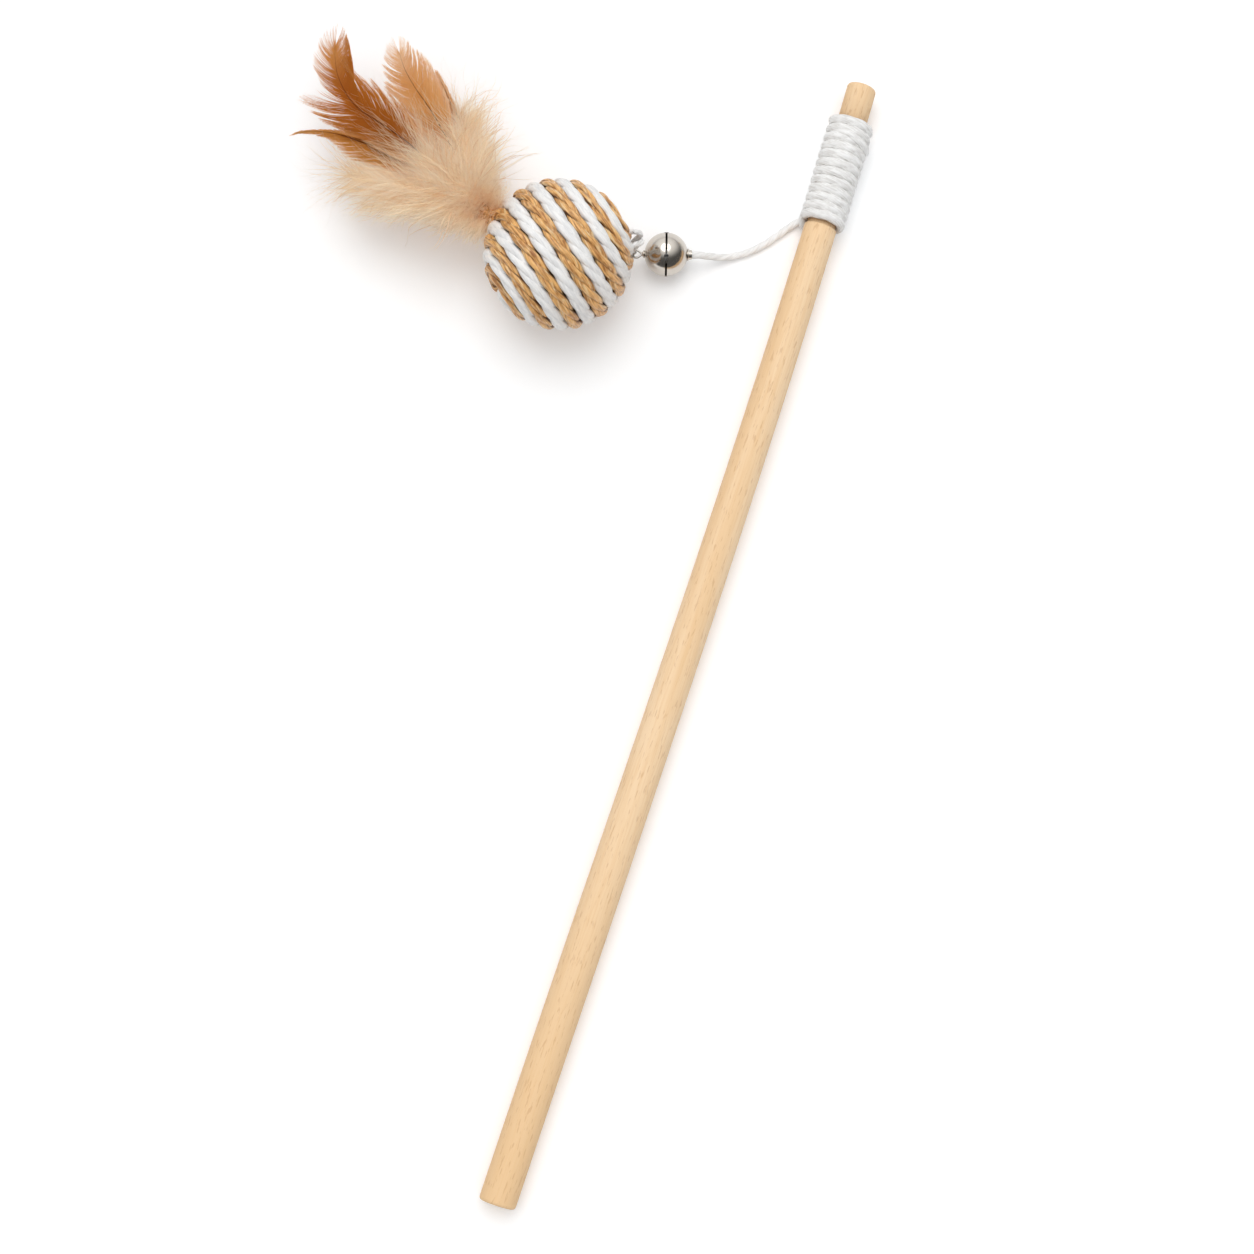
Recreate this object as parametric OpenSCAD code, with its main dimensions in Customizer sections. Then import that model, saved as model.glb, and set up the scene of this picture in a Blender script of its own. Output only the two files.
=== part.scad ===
/* [Stick] */
// Length of the stick from its butt to its tip
rod_l = 392; // [360:2:420]
// Diameter of the parallel handle end
grip_d = 12.3; // [11.8:0.1:13]
// Length of the parallel handle end
grip_l = 92; // [60:2:140]
// Diameter where the taper ends, just under the winding
shoulder_d = 11.1; // [10.8:0.1:11.7]
// Diameter of the seat that the cord is wound on
seat_d = 9.8; // [9.2:0.1:10.2]
// Diameter of the bare tip past the winding
tip_d = 10; // [9.9:0.1:10.6]
// Radius of the rounded edges at both ends
rod_edge = 1.1; // [0.6:0.1:1.6]

/* [Cord winding] */
// Diameter of the wound cord
wrap_cord_d = 2.8; // [2.4:0.05:2.8]
// Advance of one turn along the stick
wrap_pitch = 3.24; // [3.24:0.02:3.5]
// Number of turns
wrap_turns = 11.25; // [8.25:1:11.25]
// Distance from the tip to the last turn
tip_bare_l = 9.6; // [8:0.2:14]
// Room between the winding and its seat
wrap_room = 0.1; // [0.05:0.01:0.2]

/* [Lead cord] */
// Diameter of the free cord
lead_d = 2.6; // [2:0.05:2.6]

/* [Bell] */
// Outer diameter of the bell
bell_d = 14.8; // [14.4:0.1:15.4]
// Thickness of the pressed sheet
bell_wall = 0.45; // [0.35:0.05:0.6]
// Width of the sound slit
slit_w = 0.7; // [0.5:0.05:1]
// Half of the angle that the slit runs over
slit_half_angle = 84; // [60:1:86]
// Diameter of the round holes on the slit
slit_hole_d = 1.6; // [1.2:0.1:2]
// Diameter of the loose pellet
pellet_d = 3.8; // [3:0.1:4]
// Direction of the bell's axis, from the cord to the ball
bell_heading = 197; // [194:1:200]
// Turn of the slit about the bell's axis
bell_roll = -20; // [-40:1:40]

/* [Link] */
// Diameter of the bell's link wire
link_wire_d = 0.8; // [0.7:0.05:0.85]
// Diameter of its stem, where its two ends are twisted together
link_stem_d = 1.2; // [1:0.05:1.3]
// Distance from the bell to the far bend of the link wire
link_reach = 4; // [3.8:0.1:4.4]
// Bend radius of the link wire's eye, at its centreline
link_eye_r = 1.3; // [1.25:0.05:1.35]
// Outer diameter of the ring
ring_d = 5.5; // [5.3:0.1:5.8]
// Diameter of the ring's wire
ring_wire_d = 0.7; // [0.6:0.05:0.75]
// Room between wires that hang in each other
link_room = 0.15; // [0.12:0.01:0.18]

/* [Ball] */
// Outer diameter of the ball over its winding
ball_d = 50; // [49.5:0.5:52]
// Diameter of the two cords wound on the ball
wind_cord_d = 4.6; // [4.2:0.1:4.6]
// Angle that one turn moves along the ball
wind_step_angle = 26; // [26:0.5:28]
// Angle from the ball's waist at which a winding dives into the core
wind_end_angle = 76; // [75:0.5:77]
// Room between a winding and the core
core_room = 0.15; // [0.1:0.05:0.3]
// Direction from the link to the ball
ball_heading = 209.7; // [206:0.1:212]
// Diameter of the white hanger loop
hanger_d = 2; // [1.8:0.05:2]
// Bend radius of the hanger loop, at its centreline
hanger_r = 1.9; // [1.85:0.05:2.1]
// Distance from the ball's surface to the loop's bend
hanger_reach = 2.85; // [2.7:0.05:3.2]

/* [Feathers] */
// Direction in which the feathers leave the ball
tuft_heading = 168; // [164:1:172]
// Length of the glued quill plug outside the ball
plug_l = 5; // [4:0.2:6]
// Diameter of the plug at the ball
plug_base_d = 9; // [8:0.2:10]
// Diameter of the plug where the quills leave it
plug_end_d = 6.8; // [6.6:0.1:7.4]
// Diameter of a quill
quill_d = 1.1; // [0.9:0.05:1.2]
// Thickness of a feather's vane
vane_t = 0.8; // [0.6:0.05:1]
// Distance from the quills to the tip of the longest feather
feather_1_l = 80; // [70:1:86]
// Half width of the longest feather
feather_1_w = 8.5; // [6:0.5:9.5]
// Distance from the quills to the tip of the second feather
feather_2_l = 68; // [60:1:74]
// Half width of the second feather
feather_2_w = 7.5; // [5:0.5:8.5]
// Distance from the quills to the tip of the low feather
feather_3_l = 71; // [62:1:76]
// Half width of the low feather
feather_3_w = 5; // [4:0.5:6]
// Distance from the quills to the tip of the short feather
feather_4_l = 54; // [46:1:60]
// Half width of the short feather
feather_4_w = 4.5; // [3:0.5:5]
// Distance from the quills to the tip of the low plume
plume_1_l = 60; // [50:1:64]
// Distance from the quills to the tip of the middle plume
plume_2_l = 56; // [48:1:62]
// Distance from the quills to the tip of the high plume
plume_3_l = 52; // [44:1:58]
// Half width of a plume
plume_w = 9.2; // [8:0.1:9.2]
// Half thickness of a plume
plume_t = 7.5; // [5:0.5:8]

/* [Hidden] */
$fn = 64;

// One overrun serves all cuts, one gap all faces that only just clear
over = 1;
seat_gap = 0.2;
running_gap = 0.06;
// A faceted cord that rests on the table is flattened by this share of its diameter
flat_share = 0.1;

// The table's height, measured from the centre of the butt
table_z = -grip_d / 2;

// Stick: the places of its steps along the axis
wrap_l = wrap_pitch * wrap_turns;
seat_end = rod_l - tip_bare_l;
wrap_end = seat_end - wrap_cord_d / 2;
wrap_start = wrap_end - wrap_l;
shoulder_y = wrap_start - wrap_cord_d / 2;
wrap_r = seat_d / 2 + wrap_room + wrap_cord_d / 2;
wrap_flat = flat_share * wrap_cord_d;
// The stick lies on its butt and on the winding, which is the thicker of the two
rod_lean = asin((wrap_r + wrap_cord_d / 2 - wrap_flat - grip_d / 2) / wrap_start);

// A wound or swept cord: sides round it and rings for each turn
wound_sides = 6;
turn_rings = 24;
lead_sides = 8;

// Bell: its centre, and the radii that its inner pieces follow
bell_r = bell_d / 2;
bell_inner_r = bell_r - bell_wall;
bell_x = -44.8;
bell_y = 315.8;
bell_centre = [bell_x, bell_y, table_z + bell_r];
cord_ferrule_wall = 0.5;
link_ferrule_wall = 0.45;
cord_ferrule_d = lead_d + 2 * cord_ferrule_wall;
cord_bore_r = lead_d / 2 + running_gap * 2;
cord_hole_r = cord_ferrule_d / 2 + running_gap;
link_ferrule_d = link_stem_d + 2 * link_ferrule_wall;
link_bore_r = link_stem_d / 2 + running_gap;
link_hole_r = link_ferrule_d / 2 + running_gap;
flange_lip = 0.35;
flange_t = 0.4;
cord_nose_l = 1.1;
link_nose_l = 0.3;
ferrule_in_l = 0.6;
pellet_orbit_r = bell_inner_r - pellet_d / 2 - seat_gap;
knot_l = 4.4;
knot_r = 1.95;
knot_lobe_r = 1.2;
link_stem_grip = 1.2;
link_stem_start = knot_l / 2 - link_stem_grip;
// The legs of the eye are drawn a little thinner and run on into the bend
wire_draw = 0.03;
wire_lap = 0.2;

// Link chain: each bend's place along the line from the link wire to the ball
link_eye_at = bell_r + link_reach;
link_neck_l = 0.5;
link_apex_at = bell_r + link_neck_l;
link_eye_gap = link_wire_d / 2 + ring_wire_d / 2 + link_room;
ring_r = ring_d / 2 - ring_wire_d / 2;
ring_centre_at = ring_r - link_eye_gap;
ring_far_at = ring_centre_at + ring_r;
hanger_bend_at = ring_far_at - ring_wire_d / 2 - hanger_d / 2 - link_room;

// Ball: the line to its centre climbs from the bell's height to its own
ball_r = ball_d / 2;
wind_r = ball_r - wind_cord_d / 2;
wind_flat = flat_share * wind_cord_d;
core_r = wind_r - wind_cord_d / 2 - core_room;
ball_z = table_z + ball_r - wind_flat;
ball_at = hanger_bend_at + hanger_reach + ball_r;
link_point = bell_centre + link_eye_at * heading(bell_heading);
ball_climb = asin((ball_z - bell_centre[2]) / ball_at);
ball_line = cos(ball_climb) * heading(ball_heading) + [0, 0, sin(ball_climb)];
ball_centre = link_point + ball_at * ball_line;
hanger_leg_l = 9;
hanger_hole_r = hanger_d / 2 + running_gap;

// Winding: the axis of the turns, and where a turn crosses the upper side
wind_axis_heading = 51;
wind_axis_climb = 4;
wind_first_angle = -10;
dive_bend_r = 2.7;
dive_foot_r = 2.8;
dive_steps = 4;
dive_run = wind_cord_d;
pole_ring_r = wind_r * cos(wind_end_angle);
well_r = pole_ring_r + wind_cord_d / 2 + core_room;
well_bottom = wind_r * sin(wind_end_angle) - dive_bend_r - dive_run - core_room;

// Plug: it sits on the winding, its stem is glued in the core
stem_d = 3;
stem_l = 11;
plug_seat = ball_r + seat_gap / 2;
plug_face = plug_seat + plug_l;
quill_start = plug_face + seat_gap;
quill_row_share = 0.16;
quill_shares = [-0.32, -0.107, 0.107, 0.32];
tuft_root = ball_centre + quill_start * heading(tuft_heading);

// Feathers: share of the length that is bare quill, and how far each layer rises and droops
bare_share = 0.24;
root_bend_share = 0.3;
layer_h = 1.7;
droop_h = 9;
feather_rings = 16;
plume_rings = 11;
plume_sides = 10;
plume_peak_share = 0.6;
plume_tip_share = 0.02;

// Free cord: points of its centreline from the winding to the knot in the bell
lead_route = [
    [-4.4, 344.1, -4.7], [-6.2, 343.1, -4.6], [-8.4, 340.4, -4.7], [-11.2, 335.8, -4.8],
    [-14.6, 331, -4.8], [-18.4, 327.2, -4.8], [-22.6, 324.2, -4.6], [-26.6, 322, -3.4],
    [-30, 320.6, -1.4], [-33, 319.5, 0.5]];
// It starts in a rounded end, at these shares of its radius, that can turn beside the winding
lead_round_shares = [0.35, 0.75];
lead_way = [-1, -0.08, 0];

// Every ring of a plain tube has the same radius
function even(path, r) = [for (p = path) r];

// Vector helpers
function heading(a) = [cos(a), sin(a), 0];
function unit(v) = v / norm(v);
function mix(a, b, t) = a * (1 - t) + b * t;
function bezier(p, t) = let (u = 1 - t)
    u * u * u * p[0] + 3 * u * u * t * p[1] + 3 * u * t * t * p[2] + t * t * t * p[3];
function turned(v, axis, a) =
    v * cos(a) + cross(axis, v) * sin(a) + axis * (axis * v) * (1 - cos(a));

// Direction of a path at each of its points
function tangents(p) = [for (i = [0:len(p) - 1])
    unit(p[min(i + 1, len(p) - 1)] - p[max(i - 1, 0)])];

// A normal carried along a path without twisting
function carried(n, a, b) = let (c = cross(a, b), s = norm(c))
    s == 0 ? n : turned(n, c / s, atan2(s, a * b));
function normals(t, n0) = [for (i = 0, n = unit(n0 - t[0] * (n0 * t[0])); i < len(t);
    n = i + 1 < len(t) ? carried(n, t[i], t[i + 1]) : n, i = i + 1) n];

// Rings of points round a path: one ring for each of its points, with a radius each
function tube_points(p, r, sides, n0) =
    let (t = tangents(p), n = normals(t, n0))
    [for (i = [0:len(p) - 1], k = [0:sides - 1]) let (a = 360 * k / sides)
        p[i] + r[i] * (n[i] * cos(a) + cross(t[i], n[i]) * sin(a))];

// Triangles that join rings of equal counts and close both ends
function ring_faces(rings, sides) = concat(
    [for (k = [1:sides - 2]) [0, k, k + 1]],
    [for (i = [0:rings - 2], k = [0:sides - 1], half = [0, 1])
        let (a = i * sides + k, b = i * sides + (k + 1) % sides)
        half == 0 ? [a, a + sides, b] : [b, a + sides, b + sides]],
    [for (k = [1:sides - 2]) let (o = (rings - 1) * sides) [o, o + k + 1, o + k]]);

module tube(path, radii, sides, n0) {
    polyhedron(points = tube_points(path, radii, sides, n0),
        faces = ring_faces(len(path), sides), convexity = 10);
}

// Least gap of a coiled tube to itself, for points more than a third of a turn apart
function least_gap(p, d) = min([for (i = [0:len(p) - 1], j = [i + turn_rings / 3:len(p) - 1])
    if (j < len(p) && norm(p[i] - p[j]) > d / 2) norm(p[i] - p[j])]) - d;

// A smooth curve through the free cord's route, with a share of each step in between
function spline_point(p, i, u) =
    let (a = p[max(i - 1, 0)], b = p[i], c = p[i + 1], d = p[min(i + 2, len(p) - 1)])
    b + 0.5 * u * ((c - a) + u * (2 * a - 5 * b + 4 * c - d + u * (3 * b - a - 3 * c + d)));

// Placement of what belongs to the stick, the bell and the ball
module on_rod() {
    rotate([rod_lean, 0, 0]) rotate([-90, 0, 0]) children();
}
module on_bell() {
    translate(bell_centre) rotate([0, 0, bell_heading]) children();
}
module on_link() {
    translate(link_point) rotate([0, 0, ball_heading]) rotate([0, -ball_climb, 0]) children();
}
module on_winding_axis() {
    translate(ball_centre) rotate([0, 0, wind_axis_heading])
        rotate([0, 90 - wind_axis_climb, 0]) children();
}
module on_tuft() {
    translate(ball_centre) rotate([0, 0, tuft_heading]) rotate([0, 90, 0]) children();
}

// Keeps what lies above the table
module above_table() {
    intersection() {
        children();
        translate([-rod_l, -rod_l, table_z]) cube([2 * rod_l, 3 * rod_l, rod_l]);
    }
}

// Turned beech stick: parallel grip, long taper, cord seat and bare tip
module rod() {
    grip_r = grip_d / 2;
    color("burlywood") on_rod() rotate_extrude() union() {
        square([grip_r - rod_edge, rod_edge]);
        intersection() {
            translate([grip_r - rod_edge, rod_edge]) circle(rod_edge);
            square([grip_r, rod_edge]);
        }
        translate([0, rod_edge]) square([grip_r, grip_l - rod_edge]);
        polygon([[0, grip_l], [grip_r, grip_l], [shoulder_d / 2, shoulder_y], [0, shoulder_y]]);
        translate([0, shoulder_y]) square([seat_d / 2, seat_end - shoulder_y]);
        translate([0, seat_end]) square([tip_d / 2, rod_l - rod_edge - seat_end]);
        translate([0, rod_l - rod_edge]) square([tip_d / 2 - rod_edge, rod_edge]);
        intersection() {
            translate([tip_d / 2 - rod_edge, rod_l - rod_edge]) circle(rod_edge);
            translate([0, rod_l - rod_edge]) square([tip_d / 2, rod_edge]);
        }
    }
}

// Centreline of the winding, from the end under the stick up towards the tip
function wrap_point(k) = let (a = 90 - 360 * k)
    [wrap_r * cos(a), wrap_r * sin(a), wrap_start + wrap_pitch * k];
function wrap_way(k) = let (a = 90 - 360 * k)
    unit([wrap_r * sin(a) * PI * 2, -wrap_r * cos(a) * PI * 2, wrap_pitch]);
wrap_path = concat(
    [wrap_point(0) - wrap_cord_d * wrap_way(0)],
    [for (i = [0:turn_rings * wrap_turns]) wrap_point(i / turn_rings)],
    [wrap_point(wrap_turns) + wrap_cord_d * wrap_way(wrap_turns)]);

// Cord wound on its seat in one unbroken tube
module cord_wrap() {
    echo(wrap_gap = least_gap(wrap_path, wrap_cord_d));
    color("white") above_table() on_rod()
        tube(wrap_path, even(wrap_path, wrap_cord_d / 2), wound_sides,
            wrap_point(0) - [0, 0, wrap_start]);
}

// Free cord from the winding to the knot in the bell, straight where it enters the eyelet
module lead_cord() {
    r = lead_d / 2;
    axis = heading(bell_heading);
    mouth = eyelet_seat(cord_hole_r) + flange_t + cord_nose_l;
    route = concat(lead_route, [for (at = [mouth + r, mouth, knot_l / 2 + seat_gap / 2])
        bell_centre - at * axis]);
    rounding = [for (s = lead_round_shares) route[0] - r * sqrt(1 - s * s) * unit(lead_way)];
    path = concat(rounding,
        [for (i = [0:len(route) - 2], u = [0, 0.5]) spline_point(route, i, u)],
        [route[len(route) - 1]]);
    radii = concat(lead_round_shares * r, [for (i = [len(rounding):len(path) - 1]) r]);
    color("whitesmoke") tube(path, radii, lead_sides, [0, 0, 1]);
}

// Stopper knot in the end of the cord, held inside the bell
module cord_knot() {
    lobe_at = knot_l / 2 - knot_lobe_r;
    color("whitesmoke") on_bell() rotate([0, 90, 0]) difference() {
        rotate_extrude() intersection() {
            union() {
                for (side = [-1, 1]) translate([knot_r - knot_lobe_r, side * lobe_at])
                    circle(knot_lobe_r);
                translate([0, -knot_l / 2]) square([knot_r - knot_lobe_r, knot_l]);
            }
            translate([0, -knot_l]) square([knot_r, 2 * knot_l]);
        }
        translate([0, 0, link_stem_start - running_gap])
            cylinder(h = knot_l, r = link_stem_d / 2 + running_gap / 2);
    }
}

// Link wire: a stem out of the knot, bent to a pointed eye past the bell
module link_wire() {
    wire_r = link_wire_d / 2;
    centre_at = link_eye_at - link_eye_r;
    spread = asin(link_eye_r / (centre_at - link_apex_at));
    leg_l = (centre_at - link_apex_at) * cos(spread);
    color("silver") on_bell() union() {
        translate([link_stem_start, 0, 0]) rotate([0, 90, 0])
            cylinder(h = link_apex_at + wire_r - link_stem_start, d = link_stem_d);
        for (side = [-1, 1]) translate([link_apex_at, 0, 0])
            rotate([0, 0, side * spread]) rotate([0, 90, 0])
                cylinder(h = leg_l + wire_lap, r = wire_r - wire_draw);
        translate([centre_at, 0, 0]) rotate([0, 0, -90 - spread])
            rotate_extrude(angle = 180 + 2 * spread) translate([link_eye_r, 0]) circle(wire_r);
    }
}

// What the slit and its round holes take out of the bell, about its own axis
module slit_cut() {
    far = bell_r + over;
    rotate([0, 90, 0]) linear_extrude(height = slit_w, center = true)
        polygon(concat([[0, 0]], [for (s = [-1, -0.5, 0, 0.5, 1])
            2 * far * [-cos(s * slit_half_angle), sin(s * slit_half_angle)]]));
    for (s = [-1, 0, 1]) rotate([s * slit_half_angle, 0, 0])
        translate([0, 0, bell_inner_r / 2]) cylinder(h = far, d = slit_hole_d);
}

// One pressed half of the bell, its pole along +X, with a hole for its eyelet
module bell_half(hole_r) {
    difference() {
        rotate([0, 90, 0]) rotate_extrude() difference() {
            circle(bell_r);
            circle(bell_inner_r);
            translate([-2 * bell_r, -bell_r]) square([2 * bell_r, 2 * bell_r]);
            translate([-bell_r, -2 * bell_r]) square([2 * bell_r, 2 * bell_r]);
        }
        rotate([0, 90, 0]) cylinder(h = bell_r + over, r = hole_r);
        slit_cut();
    }
}

module bell_half_cord_side() {
    color("silver") on_bell() rotate([bell_roll, 0, 0]) mirror([1, 0, 0])
        bell_half(cord_hole_r);
}

module bell_half_link_side() {
    color("silver") on_bell() rotate([bell_roll, 0, 0]) bell_half(link_hole_r);
}

// Turned eyelet along +X, its flange seated on the rim of the bell's hole
function eyelet_seat(hole_r) = sqrt(bell_r * bell_r - hole_r * hole_r) + running_gap;
module eyelet(body_d, bore_r, hole_r, nose_l) {
    seat = eyelet_seat(hole_r);
    rotate([0, 90, 0]) rotate_extrude() difference() {
        union() {
            translate([0, seat - ferrule_in_l]) square([body_d / 2, ferrule_in_l + flange_t]);
            translate([0, seat]) square([body_d / 2 + flange_lip - flange_t / 2, flange_t]);
            translate([body_d / 2 + flange_lip - flange_t / 2, seat + flange_t / 2])
                circle(flange_t / 2);
            polygon([[0, seat + flange_t], [body_d / 2, seat + flange_t],
                [(body_d / 2 + bore_r) / 2, seat + flange_t + nose_l],
                [0, seat + flange_t + nose_l]]);
        }
        translate([0, seat - ferrule_in_l - over])
            square([bore_r, ferrule_in_l + flange_t + nose_l + 2 * over]);
        translate([-bell_r, 0]) square([bell_r, 2 * bell_r]);
    }
}

module eyelet_cord_side() {
    color("silver") on_bell() mirror([1, 0, 0])
        eyelet(cord_ferrule_d, cord_bore_r, cord_hole_r, cord_nose_l);
}

module eyelet_link_side() {
    color("silver") on_bell() eyelet(link_ferrule_d, link_bore_r, link_hole_r, link_nose_l);
}

// Loose pellet, at the bottom of the bell
module bell_pellet() {
    color("dimgray") on_bell() translate([0, 0, -pellet_orbit_r]) sphere(d = pellet_d);
}

// Closed ring that joins the link wire's eye to the ball's hanger loop
module link_ring() {
    color("silver") on_link() translate([ring_centre_at, 0, 0]) rotate([90, 0, 0])
        rotate_extrude() translate([ring_r, 0]) circle(d = ring_wire_d);
}

// Hanger loop: two legs glued in the core and a round bend
module hanger_loop() {
    bend_centre_at = hanger_bend_at + hanger_r;
    color("white") on_link() translate([bend_centre_at, 0, 0]) union() {
        rotate([0, 0, 90]) rotate_extrude(angle = 180) translate([hanger_r, 0])
            circle(d = hanger_d);
        for (side = [-1, 1]) translate([0, side * hanger_r, 0]) rotate([0, 90, 0])
            cylinder(h = hanger_reach - hanger_r + hanger_leg_l, d = hanger_d);
    }
}

// Holes that the hanger's legs and the plug's stem need in the core and the windings
module ball_holes() {
    on_link() for (side = [-1, 1]) translate([hanger_bend_at, side * hanger_r, 0])
        rotate([0, 90, 0])
            cylinder(h = hanger_reach + hanger_leg_l + seat_gap, r = hanger_hole_r);
    on_tuft() translate([0, 0, plug_seat - stem_l - seat_gap])
        cylinder(h = stem_l + over, d = stem_d + 2 * running_gap);
}

// Core ball with a well at each pole for the ends of the windings
module ball_core() {
    color("tan") difference() {
        translate(ball_centre) sphere(core_r, $fn = 96);
        ball_holes();
        on_winding_axis() for (side = [0, 1]) mirror([0, 0, side])
            translate([0, 0, well_bottom]) cylinder(h = core_r, r = well_r);
    }
}

// Centreline of a winding: turns from pole to pole, each end diving straight into its well
function wind_point(a, first) = let (lat = first + wind_step_angle * a / 360)
    wind_r * [cos(lat) * cos(a), cos(lat) * sin(a), sin(lat)];
function dive_point(side, a, b) =
    let (turn = a + side * dive_bend_r * sin(b) / pole_ring_r * 180 / PI,
        r = mix(pole_ring_r, dive_foot_r, 1 - cos(b)))
    [r * cos(turn), r * sin(turn),
        side * (wind_r * sin(wind_end_angle) - dive_bend_r * (1 - cos(b)))];
function wind_path(first) =
    let (low = (-wind_end_angle - first) * 360 / wind_step_angle,
        high = (wind_end_angle - first) * 360 / wind_step_angle,
        steps = ceil((high - low) * turn_rings / 360),
        bend = [for (i = [1:dive_steps]) 90 * i / dive_steps],
        foot_low = dive_point(-1, low, 90),
        foot_high = dive_point(1, high, 90))
    concat(
        [foot_low + [0, 0, dive_run]],
        [for (i = [dive_steps - 1:-1:0]) dive_point(-1, low, bend[i])],
        [for (i = [0:steps]) wind_point(mix(low, high, i / steps), first)],
        [for (i = [0:dive_steps - 1]) dive_point(1, high, bend[i])],
        [foot_high - [0, 0, dive_run]]);

module winding(first) {
    path = wind_path(first);
    echo(wind_gap = least_gap(path, wind_cord_d));
    above_table() difference() {
        on_winding_axis() tube(path, even(path, wind_cord_d / 2), wound_sides, [1, 0, 0]);
        ball_holes();
    }
}

module natural_winding() {
    color("peru") winding(wind_first_angle);
}

module white_winding() {
    color("ivory") winding(wind_first_angle + wind_step_angle / 2);
}

// Plug of glue that holds the quills, with its stem in the core
module quill_plug() {
    color("saddlebrown") on_tuft() rotate_extrude() union() {
        translate([0, plug_seat - stem_l]) square([stem_d / 2, stem_l]);
        polygon([[0, plug_seat], [plug_base_d / 2, plug_seat],
            [plug_base_d / 2, plug_seat + seat_gap], [plug_end_d / 2, plug_face],
            [0, plug_face]]);
    }
}

// Where a quill starts: a place across the plug's end, in shares of it, and above or below
function root_point(share, row) = tuft_root
    + plug_end_d * share * heading(tuft_heading - 90) + [0, 0, row * quill_row_share * plug_end_d];

// Centreline of a feather in plan: it leaves the plug straight, then bends towards its tip
function plan_path(root, l, way, bend_way, bend_share, rings, rise, drop) =
    let (p = [root, root + root_bend_share * l * unit(heading(tuft_heading) + heading(bend_way)),
        root + bend_share * l * heading(bend_way), root + l * heading(way)])
    [for (i = [0:rings]) let (t = i / rings)
        bezier(p, t) + [0, 0, rise * sin(90 * min(1, t / bare_share)) - drop * t * t]];

// Half width of a vane, from the bare quill to the pointed tip
function vane_w(t, w) = t <= bare_share ? quill_d / 2
    : max(quill_d / 2 * (1.1 - t), w * pow(sin(180 * pow((t - bare_share) / (1 - bare_share),
        0.75)), 0.8));

// Feather: a thin vane of lens section with a raised quill along its middle
module feather(share, l, w, way, bend_way, bend_share, layer) {
    path = plan_path(root_point(share, 1), l, way, bend_way, bend_share, feather_rings,
        layer * layer_h, droop_h);
    t = tangents(path);
    points = [for (i = [0:feather_rings]) let (
            side = unit(cross([0, 0, 1], t[i])), up = cross(t[i], side),
            f = i / feather_rings, half = vane_w(f, w),
            thick = min(half, vane_t / 2) * (1 - 0.6 * f), ridge = quill_d / 2 * (1.05 - f))
        for (q = [[-half, 0], [-quill_d / 2 * (1.05 - f), thick], [0, max(ridge, thick)],
                [quill_d / 2 * (1.05 - f), thick], [half, 0], [0, -thick]])
            path[i] + q[0] * side + q[1] * up];
    polyhedron(points = points, faces = ring_faces(feather_rings + 1, 6), convexity = 6);
}

module feather_1() {
    color("peru") feather(quill_shares[1], feather_1_l, feather_1_w, 143, 156, 0.86, 4);
}
module feather_2() {
    color("peru") feather(quill_shares[2], feather_2_l, feather_2_w, 131, 137, 0.6, 3);
}
module feather_3() {
    color("peru") feather(quill_shares[0], feather_3_l, feather_3_w, 175, 152, 0.55, 1);
}
module feather_4() {
    color("peru") feather(quill_shares[3], feather_4_l, feather_4_w, 122, 128, 0.6, 2);
}

// Half width of a plume as a share of its greatest: thin at the root, round at the tip
function plume_fill(t) = t < plume_peak_share
    ? pow(sin(90 * t / plume_peak_share), 3)
    : sqrt(max(plume_tip_share, 1 - pow((t - plume_peak_share) / (1 - plume_peak_share), 2)));

// Plume of down: an oval solid that hangs under the line of its quill
module plume(share, l, way, bend_way, bend_share) {
    path = plan_path(root_point(share, -1), l, way, bend_way, bend_share, plume_rings,
        0, droop_h / 3);
    t = tangents(path);
    points = [for (i = [0:plume_rings]) let (
            side = unit(cross([0, 0, 1], t[i])), up = cross(t[i], side),
            fill = plume_fill(i / plume_rings),
            half = mix(quill_d / 2, plume_w, fill), deep = mix(quill_d / 2, plume_t, fill))
        for (k = [0:plume_sides - 1]) let (a = -360 * k / plume_sides)
            path[i] + half * cos(a) * side + (quill_d / 2 - deep + deep * sin(a)) * up];
    polyhedron(points = points, faces = ring_faces(plume_rings + 1, plume_sides),
        convexity = 6);
}

module plume_1() {
    color("wheat") plume(quill_shares[0], plume_1_l, 193, 189, 0.6);
}
module plume_2() {
    color("wheat") plume((quill_shares[1] + quill_shares[2]) / 2, plume_2_l, 153, 156, 0.6);
}
module plume_3() {
    color("wheat") plume(quill_shares[3], plume_3_l, 112, 120, 0.6);
}

rod();
cord_wrap();
lead_cord();
cord_knot();
link_wire();
bell_half_cord_side();
bell_half_link_side();
eyelet_cord_side();
eyelet_link_side();
bell_pellet();
link_ring();
hanger_loop();
ball_core();
natural_winding();
white_winding();
quill_plug();
feather_1();
feather_2();
feather_3();
feather_4();
plume_1();
plume_2();
plume_3();
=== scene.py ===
"""Looks of a cat teaser wand: beech stick, cords, slit bell, wound ball, feathers and down."""

import logging
import math
from dataclasses import asdict, dataclass, field
from enum import Enum
from functools import cache, cached_property
from typing import Any, Callable, Mapping, Sequence

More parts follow.
